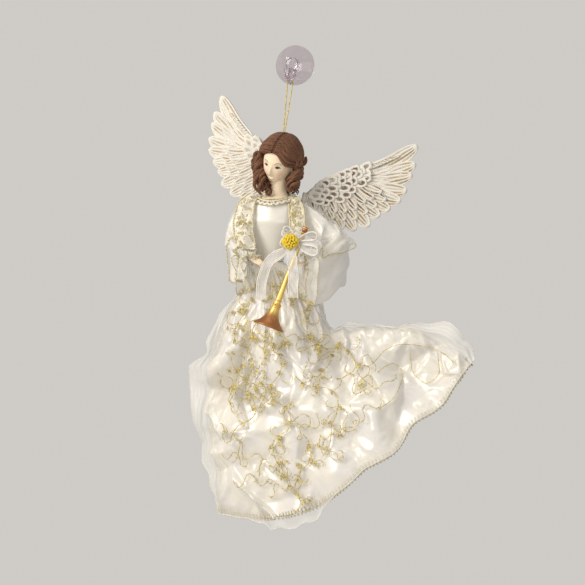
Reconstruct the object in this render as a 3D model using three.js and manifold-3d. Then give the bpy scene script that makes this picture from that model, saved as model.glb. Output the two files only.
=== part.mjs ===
// Hanging angel decoration on a clear suction hook. Millimetres, +Z up.
// The origin is the middle of the cup's back face on the wall; the front faces -Y.
import * as THREE from "three";
import { mergeVertices } from "three/addons/utils/BufferGeometryUtils.js";
import Module from "manifold-3d";

// Clearance between pieces that seat on each other
const SEAT_GAP = 0.3;

// Suction cup
const CUP_RADIUS = 20;
const CUP_EDGE = 1;
const CUP_DOME = 8;
const NECK_RADIUS = 4.4;
const NECK_LENGTH = 4;
const KNOB_RADIUS = 6;
const KNOB_LENGTH = 4.5;

// Hook
const RING_WALL = 2.2;
const PEG_RADIUS = 1.7;
const PEG_DEPTH = 18;
const PEG_DROP = 19.3;
const HOOK_BEND = 5;
const LIP_HEIGHT = 14;
const LIP_WIDTH = 9.5;

// Cord and its knot
const CORD_DIAMETER = 1.2;
const KNOT_RADIUS = 1.8;
const CROWN_DEPTH = 40;
const CROWN_DROP = 71;

// Head and hair
const HEAD_WIDTH = 31;
const HEAD_DEPTH = 38;
const HEAD_HEIGHT = 47;
const HEAD_YAW = -7.3;
const HEAD_ROLL = 14.3;
const HEAD_PITCH = 24.2;
const NOSE_HEIGHT = 3.6;
const HAIR_THICKNESS = 4.5;
const NECK_WIDTH = 17;
const BUST_WIDTH = 33;
const BUST_DEPTH = 25;
const BUST_LEVEL = -65;
const HEAD_PEG_RADIUS = 4.5;
const HEAD_PEG_LENGTH = 12;

// Torso, arms and hands
const TORSO_FRONT = -2;
const TORSO_TOP = -66;
const WAIST_LEVEL = -125;
const TORSO_BOTTOM = -148;
const CHEST_WIDTH = 50;
const CHEST_DEPTH = 32;
const WAIST_WIDTH = 23;
const WAIST_DEPTH = 20;
const ARM_RADIUS = 4.6;
const WRIST_RADIUS = 2.8;
const HAND_LENGTH = 14;

// Cloth
const SATIN = 0.6;
const ORGANZA = 0.4;
const OVERSKIRT_STAND = 1.4;
const SEAM_GAP = 0.8;
const SKIRT_LENGTH = 250.7;
const SKIRT_BULGE = 40;
const TAIL_BULGE = 18;
const SKIRT_BACK_BULGE = 24;
const FOLD_DEPTH = 5;
const FOLD_COUNT = 6;
const BACK_FOLD_DEPTH = 3;
const STOLE_WIDTH = 13;
const HEM_WIRE_DIAMETER = 1.2;

// Collar
const COLLAR_RADIUS = 2;
const COLLAR_DIP = 6;
const COLLAR_BEADS = 22;

// Trumpet
const TRUMPET_LENGTH = 101;
const TRUMPET_TUBE_RADIUS = 2.1;
const TRUMPET_BELL_RADIUS = 15;
const TRUMPET_WALL = 1.1;

// Bow and flower
const RIBBON_WIDTH = 10;
const RIBBON = 0.6;
const BOW_KNOT_RADIUS = 4;
const FLOWER_RADIUS = 8.5;

// Wings
const WING_SPAN = 120;
const WING_CHORD = 55;
const FEATHER_WIDTH = 11;
const FEATHER_RIDGE = 1.6;
const WING_STEM_RADIUS = 2.8;

const wasm = await Module();
wasm.setup();

const rad = THREE.MathUtils.degToRad;
const lerp = THREE.MathUtils.lerp;
const smooth = THREE.MathUtils.smoothstep;

// A point of the figure: right of, in front of and above the crown
const at = (x, front, z) => new THREE.Vector3(x, -front, z);

// Mesh building

function closedMesh(points, triangles) {
  let volume = 0;
  const cross = new THREE.Vector3();
  for (const [a, b, c] of triangles) {
    volume += points[a].dot(cross.crossVectors(points[b], points[c]));
  }
  const index = [];
  for (const [a, b, c] of triangles) {
    index.push(...(volume < 0 ? [a, c, b] : [a, b, c]));
  }
  const geometry = new THREE.BufferGeometry();
  const flat = points.flatMap((p) => [p.x, p.y, p.z]);
  geometry.setAttribute("position", new THREE.Float32BufferAttribute(flat, 3));
  geometry.setIndex(index);
  geometry.computeVertexNormals();
  return geometry;
}

// Rings joined side by side; the ends are capped, or the last ring meets the first
function loft(rings, closed = false) {
  const n = rings[0].length;
  const points = rings.flat();
  const triangles = [];
  const spans = closed ? rings.length : rings.length - 1;
  for (let i = 0; i < spans; i += 1) {
    const here = i * n;
    const next = ((i + 1) % rings.length) * n;
    for (let j = 0; j < n; j += 1) {
      const k = (j + 1) % n;
      triangles.push([here + j, here + k, next + k], [here + j, next + k, next + j]);
    }
  }
  if (!closed) {
    for (const [ring, flip] of [[0, true], [rings.length - 1, false]]) {
      const middle = new THREE.Vector3();
      rings[ring].forEach((p) => middle.add(p));
      points.push(middle.divideScalar(n));
      for (let j = 0; j < n; j += 1) {
        const a = ring * n + j;
        const b = ring * n + (j + 1) % n;
        triangles.push(flip ? [b, a, points.length - 1] : [a, b, points.length - 1]);
      }
    }
  }
  return closedMesh(points, triangles);
}

// An open cloth of even thickness; face(i, j) is its outer side, row by row
function sheet(columns, rows, face, thickness) {
  const outer = [];
  for (let j = 0; j <= rows; j += 1) {
    outer.push([]);
    for (let i = 0; i <= columns; i += 1) {
      outer[j].push(face(i, j));
    }
  }
  const inner = outer.map((row, j) => row.map((p, i) => {
    const across = outer[j][Math.min(i + 1, columns)].clone().sub(outer[j][Math.max(i - 1, 0)]);
    const down = outer[Math.min(j + 1, rows)][i].clone().sub(outer[Math.max(j - 1, 0)][i]);
    return p.clone().add(down.cross(across).normalize().multiplyScalar(thickness));
  }));
  const points = [...outer.flat(), ...inner.flat()];
  const half = outer.flat().length;
  const id = (i, j) => j * (columns + 1) + i;
  const triangles = [];
  const quad = (a, b, c, d) => triangles.push([a, b, c], [a, c, d]);
  for (let j = 0; j < rows; j += 1) {
    for (let i = 0; i < columns; i += 1) {
      const [a, b, c, d] = [id(i, j), id(i + 1, j), id(i + 1, j + 1), id(i, j + 1)];
      quad(a, b, c, d);
      quad(half + a, half + d, half + c, half + b);
    }
    const [left, below] = [id(0, j), id(0, j + 1)];
    const [right, under] = [id(columns, j), id(columns, j + 1)];
    quad(left, below, half + below, half + left);
    quad(right, half + right, half + under, under);
  }
  for (let i = 0; i < columns; i += 1) {
    const [a, b] = [id(i, 0), id(i + 1, 0)];
    const [c, d] = [id(i, rows), id(i + 1, rows)];
    quad(a, half + a, half + b, b);
    quad(c, d, half + d, half + c);
  }
  return closedMesh(points, triangles);
}

// A tapered tube along points, with radius(t) from 0 to 1
function taper(points, radius, steps, sides) {
  const curve = new THREE.CatmullRomCurve3(points);
  const frames = curve.computeFrenetFrames(steps, false);
  const rings = [];
  for (let i = 0; i <= steps; i += 1) {
    const centre = curve.getPointAt(i / steps);
    const r = radius(i / steps);
    const ring = [];
    for (let j = 0; j < sides; j += 1) {
      const angle = 2 * Math.PI * j / sides;
      ring.push(centre.clone()
        .addScaledVector(frames.normals[i], r * Math.cos(angle))
        .addScaledVector(frames.binormals[i], r * Math.sin(angle)));
    }
    rings.push(ring);
  }
  return loft(rings);
}

// A round cord of even thickness along points
function cord(points, diameter, steps) {
  const shape = new THREE.Shape();
  for (let i = 0; i < 6; i += 1) {
    const angle = Math.PI * i / 3;
    const [x, y] = [Math.cos(angle) * diameter / 2, Math.sin(angle) * diameter / 2];
    if (i === 0) {
      shape.moveTo(x, y);
    } else {
      shape.lineTo(x, y);
    }
  }
  const extrudePath = new THREE.CatmullRomCurve3(points, false, "centripetal");
  return new THREE.ExtrudeGeometry(shape, { steps, bevelEnabled: false, extrudePath });
}

function lathe(profile, segments) {
  return new THREE.LatheGeometry(profile.map(([r, y]) => new THREE.Vector2(r, y)), segments);
}

// Joining and cutting

function solid(geometry) {
  const bare = geometry.clone();
  bare.deleteAttribute("normal");
  bare.deleteAttribute("uv");
  const merged = mergeVertices(bare, 1e-4);
  const position = merged.getAttribute("position");
  const index = merged.getIndex().array;
  const triVerts = [];
  for (let i = 0; i < index.length; i += 3) {
    const [a, b, c] = [index[i], index[i + 1], index[i + 2]];
    if (a !== b && b !== c && c !== a) {
      triVerts.push(a, b, c);
    }
  }
  const mesh = new wasm.Mesh({
    numProp: 3,
    vertProperties: Float32Array.from(position.array),
    triVerts: Uint32Array.from(triVerts),
  });
  const made = new wasm.Manifold(mesh);
  if (made.volume() > 0) {
    return made;
  }
  for (let i = 0; i < triVerts.length; i += 3) {
    [triVerts[i + 1], triVerts[i + 2]] = [triVerts[i + 2], triVerts[i + 1]];
  }
  mesh.triVerts = Uint32Array.from(triVerts);
  return new wasm.Manifold(mesh);
}

const join = (...pieces) => pieces.reduce((all, one) => all.add(one));
const cut = (piece, ...tools) => tools.reduce((left, tool) => left.subtract(tool), piece);

function largest(made) {
  return made.decompose().reduce((a, b) => (b.volume() > a.volume() ? b : a));
}

function geometryOf(made, smoothing = 0.01) {
  const mesh = largest(made.simplify(smoothing)).getMesh();
  const geometry = new THREE.BufferGeometry();
  const position = Float32Array.from(mesh.vertProperties);
  geometry.setAttribute("position", new THREE.BufferAttribute(position, 3));
  geometry.setIndex([...mesh.triVerts]);
  return geometry;
}

// Suction cup and hook

// Pressed flat on the wall; the back is one large triangle and three round segments
function suctionCup() {
  const profile = [[CUP_RADIUS, 0], [CUP_RADIUS, -CUP_EDGE]];
  const dome = new THREE.QuadraticBezierCurve(
    new THREE.Vector2(CUP_RADIUS, -CUP_EDGE),
    new THREE.Vector2(lerp(NECK_RADIUS, CUP_RADIUS, 0.45), -lerp(CUP_EDGE, CUP_DOME, 0.75)),
    new THREE.Vector2(NECK_RADIUS, -CUP_DOME),
  );
  dome.getPoints(4).slice(1).forEach((p) => profile.push([p.x, p.y]));
  const seat = -CUP_DOME - NECK_LENGTH;
  const end = seat - KNOB_LENGTH;
  const round = KNOB_LENGTH * 0.4;
  profile.push([NECK_RADIUS, seat], [KNOB_RADIUS, seat], [KNOB_RADIUS, end + round]);
  profile.push([KNOB_RADIUS * 0.8, end + round * 0.3], [KNOB_RADIUS * 0.5, end], [0, end]);
  const third = 8;
  const corners = [[0, third, 2 * third]];
  for (let start = 0; start < 3 * third; start += third) {
    for (let i = 1; i < third; i += 1) {
      corners.push([start, start + i, start + i + 1]);
    }
  }
  const front = lathe(profile.reverse(), 3 * third).toNonIndexed().getAttribute("position").array;
  const back = corners.flat().flatMap((i) => {
    const angle = 2 * Math.PI * i / (3 * third);
    return [CUP_RADIUS * Math.sin(angle), 0, CUP_RADIUS * Math.cos(angle)];
  });
  const shell = new THREE.BufferGeometry();
  shell.setAttribute("position", new THREE.Float32BufferAttribute([...front, ...back], 3));
  return geometryOf(solid(shell));
}

function hook() {
  const inner = NECK_RADIUS + SEAT_GAP;
  const outer = inner + RING_WALL;
  const back = -CUP_DOME - SEAT_GAP;
  const front = -CUP_DOME - NECK_LENGTH + SEAT_GAP;
  const ring = lathe([[inner, back], [outer, back], [outer, front], [inner, front], [inner, back]], 24);
  const middle = (back + front) / 2;
  const thick = Math.min(PEG_RADIUS, (back - front) / 2);
  const bendTop = -PEG_DROP + HOOK_BEND;
  const wide = LIP_WIDTH / 2;
  const path = [[middle, -inner - RING_WALL / 2, wide * 0.85, thick]];
  path.push([middle - 0.1, -outer - 1, wide * 0.8, thick]);
  for (let i = 0; i <= 8; i += 1) {
    const angle = Math.PI * i / 8;
    const y = -PEG_DEPTH + HOOK_BEND * Math.cos(angle);
    const z = bendTop - HOOK_BEND * Math.sin(angle);
    path.push([y, z, lerp(PEG_RADIUS, wide * 0.8, Math.cos(angle) ** 4), PEG_RADIUS]);
  }
  const lip = -PEG_DEPTH - HOOK_BEND;
  const top = -PEG_DROP + LIP_HEIGHT;
  path.push([lip, lerp(bendTop, top, 0.6), wide, PEG_RADIUS * 0.9]);
  path.push([lip, top - 1, wide * 0.9, PEG_RADIUS * 0.7], [lip, top, wide * 0.6, PEG_RADIUS * 0.3]);
  const rings = path.map(([y, z, width, depth], i) => {
    const [y0, z0] = path[Math.max(i - 1, 0)];
    const [y1, z1] = path[Math.min(i + 1, path.length - 1)];
    const way = new THREE.Vector3(0, i === 0 ? 0 : y1 - y0, z1 - z0).normalize();
    const normal = new THREE.Vector3(0, -way.z, way.y);
    return Array.from({ length: 12 }, (_, j) => {
      const angle = Math.PI * j / 6;
      const p = new THREE.Vector3(width * Math.cos(angle), y, z);
      return p.addScaledVector(normal, depth * Math.sin(angle));
    });
  });
  return geometryOf(join(solid(ring), solid(loft(rings))));
}

// Cord loop over the peg, both ends at the knot

function hangingCord() {
  const wrap = PEG_RADIUS + 1.6 * SEAT_GAP + CORD_DIAMETER / 2;
  const end = KNOT_RADIUS + SEAT_GAP;
  const apart = CORD_DIAMETER * 0.62;
  const peg = new THREE.Vector3(0, -PEG_DEPTH, -PEG_DROP);
  const crown = new THREE.Vector3(0, -CROWN_DEPTH, -CROWN_DROP);
  const up = peg.clone().sub(crown).normalize();
  const strand = (side) => {
    const low = crown.clone().addScaledVector(up, end).setX(side * apart);
    const high = peg.clone().setX(side * wrap);
    return [0, 0.12, 0.4, 0.7, 0.93].map((t) => low.clone().lerp(high, t));
  };
  const points = strand(-1);
  for (let i = 0; i <= 8; i += 1) {
    const angle = Math.PI * i / 8;
    points.push(new THREE.Vector3(-wrap * Math.cos(angle), peg.y, peg.z + wrap * Math.sin(angle)));
  }
  points.push(...strand(1).reverse());
  return cord(points, CORD_DIAMETER, 36);
}

const cordKnot = () => new THREE.SphereGeometry(KNOT_RADIUS, 12, 8)
  .translate(0, -CROWN_DEPTH, -CROWN_DROP);

// Head, hair and neck, placed under the crown

const HEAD_CENTRE = at(-2, 3, -HEAD_HEIGHT / 2 - HAIR_THICKNESS + 2);
const headPlace = new THREE.Matrix4().makeTranslation(HEAD_CENTRE)
  .multiply(new THREE.Matrix4().makeRotationY(rad(HEAD_ROLL)))
  .multiply(new THREE.Matrix4().makeRotationZ(rad(HEAD_YAW)))
  .multiply(new THREE.Matrix4().makeRotationX(rad(HEAD_PITCH)));
const NECK_BASE = at(-8.6, TORSO_FRONT, BUST_LEVEL);

function bump(across, up, x, z, width, height) {
  return Math.exp(-(((across - x) / width) ** 2) - ((up - z) / height) ** 2);
}

function skull(grow, around, tall) {
  const geometry = new THREE.SphereGeometry(1, around, tall).rotateX(Math.PI / 2);
  const position = geometry.getAttribute("position");
  for (let i = 0; i < position.count; i += 1) {
    const d = new THREE.Vector3().fromBufferAttribute(position, i);
    const low = Math.max(0, -d.z);
    const x = d.x * (HEAD_WIDTH / 2 + grow) * (1 - 0.42 * low ** 1.6);
    let y = d.y * (HEAD_DEPTH / 2 + grow);
    const z = d.z * (HEAD_HEIGHT / 2 + grow);
    y *= 1 - 0.5 * low * smooth(d.y, 0, 0.2);
    const side = Math.abs(d.x);
    const face = smooth(-d.y, 0, 0.25);
    y -= face * NOSE_HEIGHT * bump(side, d.z, 0, -0.3, 0.14, 0.16);
    y -= face * 1.4 * bump(side, d.z, 0, -0.62, 0.22, 0.08);
    y -= face * 1.8 * bump(side, d.z, 0, -0.88, 0.3, 0.1);
    y += face * 1.6 * bump(side, d.z, 0.36, 0, 0.18, 0.12);
    y -= face * 0.8 * bump(side, d.z, 0.42, -0.35, 0.2, 0.18);
    position.setXYZ(i, x, y, z);
  }
  return solid(geometry).transform(headPlace.elements);
}

function ellipseRing(centre, rx, ry, sides) {
  return Array.from({ length: sides }, (_, j) => {
    const angle = 2 * Math.PI * j / sides;
    return centre.clone().add(new THREE.Vector3(rx * Math.cos(angle), ry * Math.sin(angle), 0));
  });
}

function neck(grow) {
  const top = HEAD_CENTRE.clone().add(at(-1, -3, -8));
  const r = NECK_WIDTH / 2 + grow;
  const rows = [
    [top, r * 0.96, r * 0.96],
    [top.clone().lerp(NECK_BASE, 0.7), r, r],
    [NECK_BASE.clone().setZ(BUST_LEVEL + 4), lerp(r, BUST_WIDTH / 2, 0.45), lerp(r, BUST_DEPTH / 2, 0.45)],
    [NECK_BASE.clone().setZ(BUST_LEVEL + 1), BUST_WIDTH / 2 + grow, BUST_DEPTH / 2 + grow],
    [NECK_BASE.clone(), BUST_WIDTH / 2 + grow, BUST_DEPTH / 2 + grow],
  ];
  return solid(loft(rows.map(([centre, rx, ry]) => ellipseRing(centre, rx, ry, 24))));
}

function headPeg(grow) {
  const low = NECK_BASE.clone().setZ(BUST_LEVEL - HEAD_PEG_LENGTH - grow);
  const high = NECK_BASE.clone().setZ(BUST_LEVEL + 1);
  const r = HEAD_PEG_RADIUS + grow;
  return solid(loft([ellipseRing(low, r, r, 16), ellipseRing(high, r, r, 16)]));
}

const head = () => geometryOf(join(skull(0, 24, 18), neck(0), headPeg(0)), 0.02);

function ringlet(from, to, radius, turns) {
  const steps = 10;
  const rings = [];
  const sides = 6;
  for (let i = 0; i <= steps; i += 1) {
    const t = i / steps;
    const centre = from.clone().lerp(to, t);
    const size = radius * Math.min(1, 0.35 + 4 * (1 - t)) * Math.min(1, 0.6 + t);
    const phase = 2 * Math.PI * turns * t;
    rings.push(Array.from({ length: sides }, (_, j) => {
      const angle = 2 * Math.PI * j / sides;
      const r = size * (1 + 0.22 * Math.cos(angle - phase));
      return centre.clone().add(new THREE.Vector3(r * Math.cos(angle), r * Math.sin(angle), 0));
    }));
  }
  return solid(loft(rings));
}

function hair() {
  const cap = new THREE.SphereGeometry(1, 20, 15).rotateX(Math.PI / 2);
  const size = [HEAD_WIDTH, HEAD_DEPTH, HEAD_HEIGHT].map((d) => d / 2 + HAIR_THICKNESS);
  cap.scale(...size).translate(0, 1, 0);
  const opening = new THREE.Shape([
    [0, 0.56], [0.16, 0.5], [0.32, 0.32], [0.42, 0.05], [0.41, -0.3], [0.36, -1],
    [-0.36, -1], [-0.41, -0.3], [-0.42, 0.05], [-0.32, 0.32], [-0.16, 0.5],
  ].map(([x, z]) => new THREE.Vector2(x * HEAD_WIDTH, z * HEAD_HEIGHT / 2)));
  const faceCut = new THREE.ExtrudeGeometry(opening, { depth: HEAD_DEPTH, bevelEnabled: false });
  faceCut.rotateX(Math.PI / 2).translate(0, -0.1 * HEAD_DEPTH, 0);
  const nape = new THREE.BoxGeometry(HEAD_WIDTH * 3, HEAD_DEPTH * 3, HEAD_HEIGHT);
  nape.translate(0, 0, -HEAD_HEIGHT * 0.86);
  const dome = cut(solid(cap), solid(faceCut), solid(nape)).transform(headPlace.elements);
  const side = HEAD_WIDTH / 2 + HAIR_THICKNESS * 0.5;
  const reach = HEAD_CENTRE.z;
  const locks = [
    ringlet(at(-side - 1, 4, reach + 4), at(-side - 9, 12, reach - 22), 4.2, 3),
    ringlet(at(-side + 1, 8, reach - 4), at(-side - 2, 17, reach - 32), 3.8, 3),
    ringlet(at(side - 2, 2, reach + 2), at(side + 1, 7, reach - 24), 4.2, 3),
    ringlet(at(side - 4, 3, reach - 6), at(side - 9, 9, reach - 33), 3.8, 3),
    ringlet(at(-4, -13, reach - 8), at(-5, -12, reach - 33), 5, 3),
  ];
  const notch = lathe([[0, -KNOT_RADIUS - SEAT_GAP], [KNOT_RADIUS + SEAT_GAP, -KNOT_RADIUS - SEAT_GAP],
    [KNOT_RADIUS + SEAT_GAP, 0], [KNOT_RADIUS * 3.4, 7], [0, 7]], 16).rotateX(Math.PI / 2);
  const made = cut(join(dome, ...locks), skull(2 * SEAT_GAP, 16, 12), neck(SEAT_GAP), solid(notch));
  return geometryOf(made, 0.07);
}

// Torso, bodice and collar

const TORSO_ROWS = [
  [TORSO_TOP, -8.6, 0.3, 0.2],
  [TORSO_TOP - 4, -8.8, 0.9, 0.75],
  [TORSO_TOP - 12, -10, 1, 1],
  [TORSO_TOP - 26, -11.5, 0.9, 1.06],
  [TORSO_TOP - 42, -13.2, 0.4, 0.4],
  [WAIST_LEVEL, -14.9, 0, 0],
  [TORSO_BOTTOM + 10, -15.2, 0.12, 0.12],
  [TORSO_BOTTOM, -15.2, 0.16, 0.16],
];

// Centre and half sizes of the torso at a level
function torsoAt(z) {
  let i = 0;
  while (i < TORSO_ROWS.length - 2 && z < TORSO_ROWS[i + 1][0]) {
    i += 1;
  }
  const [a, b] = [TORSO_ROWS[i], TORSO_ROWS[i + 1]];
  const t = (z - a[0]) / (b[0] - a[0]);
  const [x, wide, deep] = [1, 2, 3].map((k) => lerp(a[k], b[k], t));
  return {
    centre: at(x, TORSO_FRONT, z),
    rx: lerp(WAIST_WIDTH, CHEST_WIDTH, wide) / 2,
    ry: lerp(WAIST_DEPTH, CHEST_DEPTH, deep) / 2,
  };
}

function torsoRing(z, grow, sides) {
  const { centre, rx, ry } = torsoAt(z);
  return ellipseRing(centre, rx + grow, ry + grow, sides);
}

// A point on the outside of the torso, seen from above
function onTorso(z, angle, grow) {
  const { centre, rx, ry } = torsoAt(z);
  const way = new THREE.Vector3((rx + grow) * Math.cos(angle), -(ry + grow) * Math.sin(angle), 0);
  return centre.add(way);
}

function wingStem(side, grow) {
  const root = side > 0 ? RIGHT_WING.root : LEFT_WING.root;
  const seat = onTorso(TORSO_TOP - 16, -Math.PI / 2 + side * 0.62, 0);
  const knee = seat.clone().setY(root.y + 4);
  const inside = seat.clone().add(at(0, 6, 0));
  const points = [root, root.clone().lerp(knee, 0.5), knee.clone().lerp(seat, 0.2), inside];
  return solid(taper(points, () => WING_STEM_RADIUS + grow, 8, 8));
}

function torsoCore() {
  const core = solid(loft(TORSO_ROWS.map(([z]) => torsoRing(z, 0, 20))));
  return geometryOf(cut(core, headPeg(SEAT_GAP), wingStem(-1, SEAT_GAP), wingStem(1, SEAT_GAP)));
}

function bodice() {
  const levels = [TORSO_TOP - 5, TORSO_TOP - 12, TORSO_TOP - 26, TORSO_TOP - 42, WAIST_LEVEL];
  const outer = levels.map((z) => torsoRing(z, SEAT_GAP + SATIN, 20));
  const inner = levels.map((z) => torsoRing(z, SEAT_GAP, 20));
  const shell = solid(loft([...outer, ...inner.reverse()], true));
  return geometryOf(cut(shell, wingStem(-1, SEAT_GAP), wingStem(1, SEAT_GAP)));
}

function collar() {
  const rings = [];
  const count = COLLAR_BEADS * 2;
  const wide = BUST_WIDTH / 2 + COLLAR_RADIUS * 1.2 + SEAT_GAP;
  const deep = BUST_DEPTH / 2 + COLLAR_RADIUS * 1.2 + SEAT_GAP;
  for (let i = 0; i < count; i += 1) {
    const angle = 2 * Math.PI * i / count;
    const way = new THREE.Vector3(Math.cos(angle), Math.sin(angle), 0);
    const front = Math.max(0, -way.y) ** 2;
    const centre = NECK_BASE.clone().add(new THREE.Vector3(way.x * wide, way.y * (deep + 2.6 * front), 0));
    centre.z += COLLAR_RADIUS + 0.8 - COLLAR_DIP * front;
    const r = COLLAR_RADIUS * (i % 2 ? 0.85 : 1.1);
    rings.push(Array.from({ length: 6 }, (_, j) => {
      const turn = Math.PI * j / 3;
      return centre.clone().addScaledVector(way, r * Math.cos(turn))
        .add(new THREE.Vector3(0, 0, r * Math.sin(turn)));
    }));
  }
  return loft(rings, true);
}

// Arms, hands and sleeves

function armSolid(points, grow) {
  return solid(taper(points, (t) => lerp(ARM_RADIUS, WRIST_RADIUS, t) + grow, 12, 10));
}

// What a piece beside the bodice must keep clear of
function bodiceRoom() {
  return solid(loft(TORSO_ROWS.map(([z]) => torsoRing(z, 2 * SEAT_GAP + SATIN, 20))));
}

const arm = (points) => geometryOf(cut(armSolid(points, 0), bodiceRoom()));

function hand(wrist, way, palm, avoid) {
  const across = new THREE.Vector3().crossVectors(way, palm).normalize();
  const from = wrist.clone().addScaledVector(way, SEAT_GAP);
  const knuckle = from.clone().addScaledVector(way, HAND_LENGTH * 0.45);
  const r = WRIST_RADIUS;
  const block = [from, from.clone().lerp(knuckle, 0.5), knuckle].map((centre, i) => {
    const wide = r * [0.85, 1.15, 1.25][i];
    const thick = r * [0.8, 0.65, 0.5][i];
    return Array.from({ length: 10 }, (_, j) => centre.clone()
      .addScaledVector(across, wide * Math.cos(Math.PI * j / 5))
      .addScaledVector(palm, thick * Math.sin(Math.PI * j / 5)));
  });
  const parts = [solid(loft(block))];
  for (let k = 0; k < 4; k += 1) {
    const base = knuckle.clone().addScaledVector(across, r * (k - 1.5) * 0.6).addScaledVector(way, -0.8);
    const reach = HAND_LENGTH * [0.5, 0.58, 0.55, 0.44][k];
    const tip = base.clone().addScaledVector(way, reach * 0.9).addScaledVector(palm, reach * 0.4);
    const bend = base.clone().addScaledVector(way, reach * 0.55).addScaledVector(palm, reach * 0.05);
    parts.push(solid(taper([base, bend, tip], (t) => r * lerp(0.32, 0.2, t), 3, 5)));
  }
  const root = from.clone().lerp(knuckle, 0.45).addScaledVector(across, r * 0.8);
  const thumb = root.clone().addScaledVector(way, HAND_LENGTH * 0.28).addScaledVector(across, r * 0.6)
    .addScaledVector(palm, r * 0.5);
  const middle = root.clone().lerp(thumb, 0.5);
  parts.push(solid(taper([root, middle, thumb], (t) => r * lerp(0.36, 0.22, t), 2, 5)));
  return geometryOf(cut(join(...parts), ...avoid), 0.05);
}

// Rows: centre, half width, height above and below the arm
function sleeve(rows) {
  const ring = (row, i, grow) => {
    const way = rows[Math.min(i + 1, rows.length - 1)][0].clone().sub(rows[Math.max(i - 1, 0)][0]);
    const across = new THREE.Vector3(-way.y, way.x, 0).normalize();
    const [centre, wide, up, down] = row;
    return Array.from({ length: 20 }, (_, j) => {
      const angle = Math.PI * j / 10;
      const fold = 1 + 0.07 * (i / rows.length) * Math.cos(5 * angle + i);
      const tall = Math.sin(angle) > 0 ? up : down;
      return centre.clone().addScaledVector(across, (wide * fold + grow) * Math.cos(angle))
        .add(new THREE.Vector3(0, 0, (tall * fold + grow) * Math.sin(angle)));
    });
  };
  const outer = rows.map((row, i) => ring(row, i, 0));
  const inner = rows.map((row, i) => ring(row, i, -SATIN));
  return geometryOf(cut(solid(loft([...outer, ...inner.reverse()], true)), bodiceRoom()));
}

const CUFF = ARM_RADIUS + SEAT_GAP + SATIN;
const RIGHT_SLEEVE = [
  [at(19, -3, -79), CUFF * 1.04, CUFF * 1.35, CUFF * 1.35],
  [at(28, -2, -87), CUFF + 4, CUFF + 5, CUFF + 8],
  [at(40, 0, -98), 12, 12, 25],
  [at(51, 4, -108), 14, 13, 39],
  [at(54, 11, -116), 14, 12, 46],
  [at(47, 19, -121.5), 13, 10, 46],
  [at(37, 28, -125), 12, 8.5, 39],
];
const LEFT_SLEEVE = [
  [at(-42, -3, -80), CUFF * 1.3, CUFF * 1.8, CUFF * 1.8],
  [at(-44.5, 0, -88), CUFF + 3.2, CUFF + 8, CUFF + 8],
  [at(-44, 5, -98), 10, 13, 16],
  [at(-43, 11, -108), 10.5, 12, 24],
  [at(-40, 18, -115), 10.5, 10, 30],
  [at(-33, 24, -120), 9.5, 8, 26],
];

const RIGHT_ARM = [at(12, -3, -75), ...RIGHT_SLEEVE.map(([p]) => p.clone()), at(31, 34, -127.5)];
const LEFT_ARM = [at(-33, -4, -77), ...LEFT_SLEEVE.map(([p]) => p.clone()), at(-24, 27.5, -124)];

function stole(points, columns) {
  const curve = new THREE.CatmullRomCurve3(points);
  const rows = 10;
  const band = sheet(columns, rows, (i, j) => {
    const t = j / rows;
    const p = curve.getPointAt(t);
    const across = (i / columns - 0.5) * STOLE_WIDTH;
    const wave = 0.8 * Math.sin(9 * t + 2.4 * i);
    return p.add(at(across, wave - 0.03 * across * across, 0));
  }, ORGANZA);
  return geometryOf(cut(solid(band), bodiceRoom()));
}

const STAND = 2 * SEAT_GAP + SATIN + ORGANZA + 3.2;
const LEFT_STOLE = [onTorso(TORSO_TOP - 6, 2.25, STAND), onTorso(TORSO_TOP - 14, 2.2, STAND),
  at(-28, 17.5, -94), at(-26, 22, -106)];
const RIGHT_STOLE = [onTorso(TORSO_TOP - 6, 0.9, STAND), onTorso(TORSO_TOP - 14, 0.95, STAND),
  at(9, 18, -94), at(11, 24, -108)];

// Skirt

const spline = (points) => new THREE.CatmullRomCurve3(points.map((p) => at(...p)), false, "centripetal");
const WAIST_OUT = WAIST_WIDTH / 2 + SEAT_GAP + SATIN;
const WAIST_BULGE = WAIST_DEPTH / 2 + SEAT_GAP + SATIN;
const WAIST_TOP = WAIST_LEVEL - SEAT_GAP;
// Places on the skirt's outline: right, front, and the share of its length below the waist
const onSkirt = ([x, front, share]) => [x, front, WAIST_TOP - SKIRT_LENGTH * share];
const HEM_LEFT = onSkirt([-67, -6, 0.988]);
const TAIL_TIP = onSkirt([187, 8, 0.398]);
const LEFT_SEAM = [[-42, -6, 0.1145], [-60, -8, 0.25], [-73, -9, 0.35], [-79, -10, 0.4695], [-79, -10, 0.629],
  [-75, -9, 0.7686], [-69, -7, 0.9043]].map(onSkirt);
const RIGHT_SEAM = [[14.6, -5, 0.0586], [31.8, -6, 0.1504], [41, -6, 0.23], [50, -5, 0.274], [63, -4, 0.28],
  [96, -3, 0.272], [126, -1, 0.27], [153, 2, 0.294]].map(onSkirt);
const HEM_EDGE = [[-34, -4, 1], [-13, -3, 0.998], [13, -1, 0.98], [38, 0, 0.948], [64.5, 2, 0.8923],
  [91, 3, 0.7966], [119.5, 5, 0.7248], [135, 6, 0.621], [162, 7, 0.5453]].map(onSkirt);
const SKIRT_LEFT = spline([[-14.9 - WAIST_OUT, TORSO_FRONT, WAIST_TOP], ...LEFT_SEAM, HEM_LEFT]);
const SKIRT_RIGHT = spline([[-14.9 + WAIST_OUT, TORSO_FRONT, WAIST_TOP], ...RIGHT_SEAM, TAIL_TIP]);
const SKIRT_HEM = spline([HEM_LEFT, ...HEM_EDGE, TAIL_TIP]);

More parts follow.
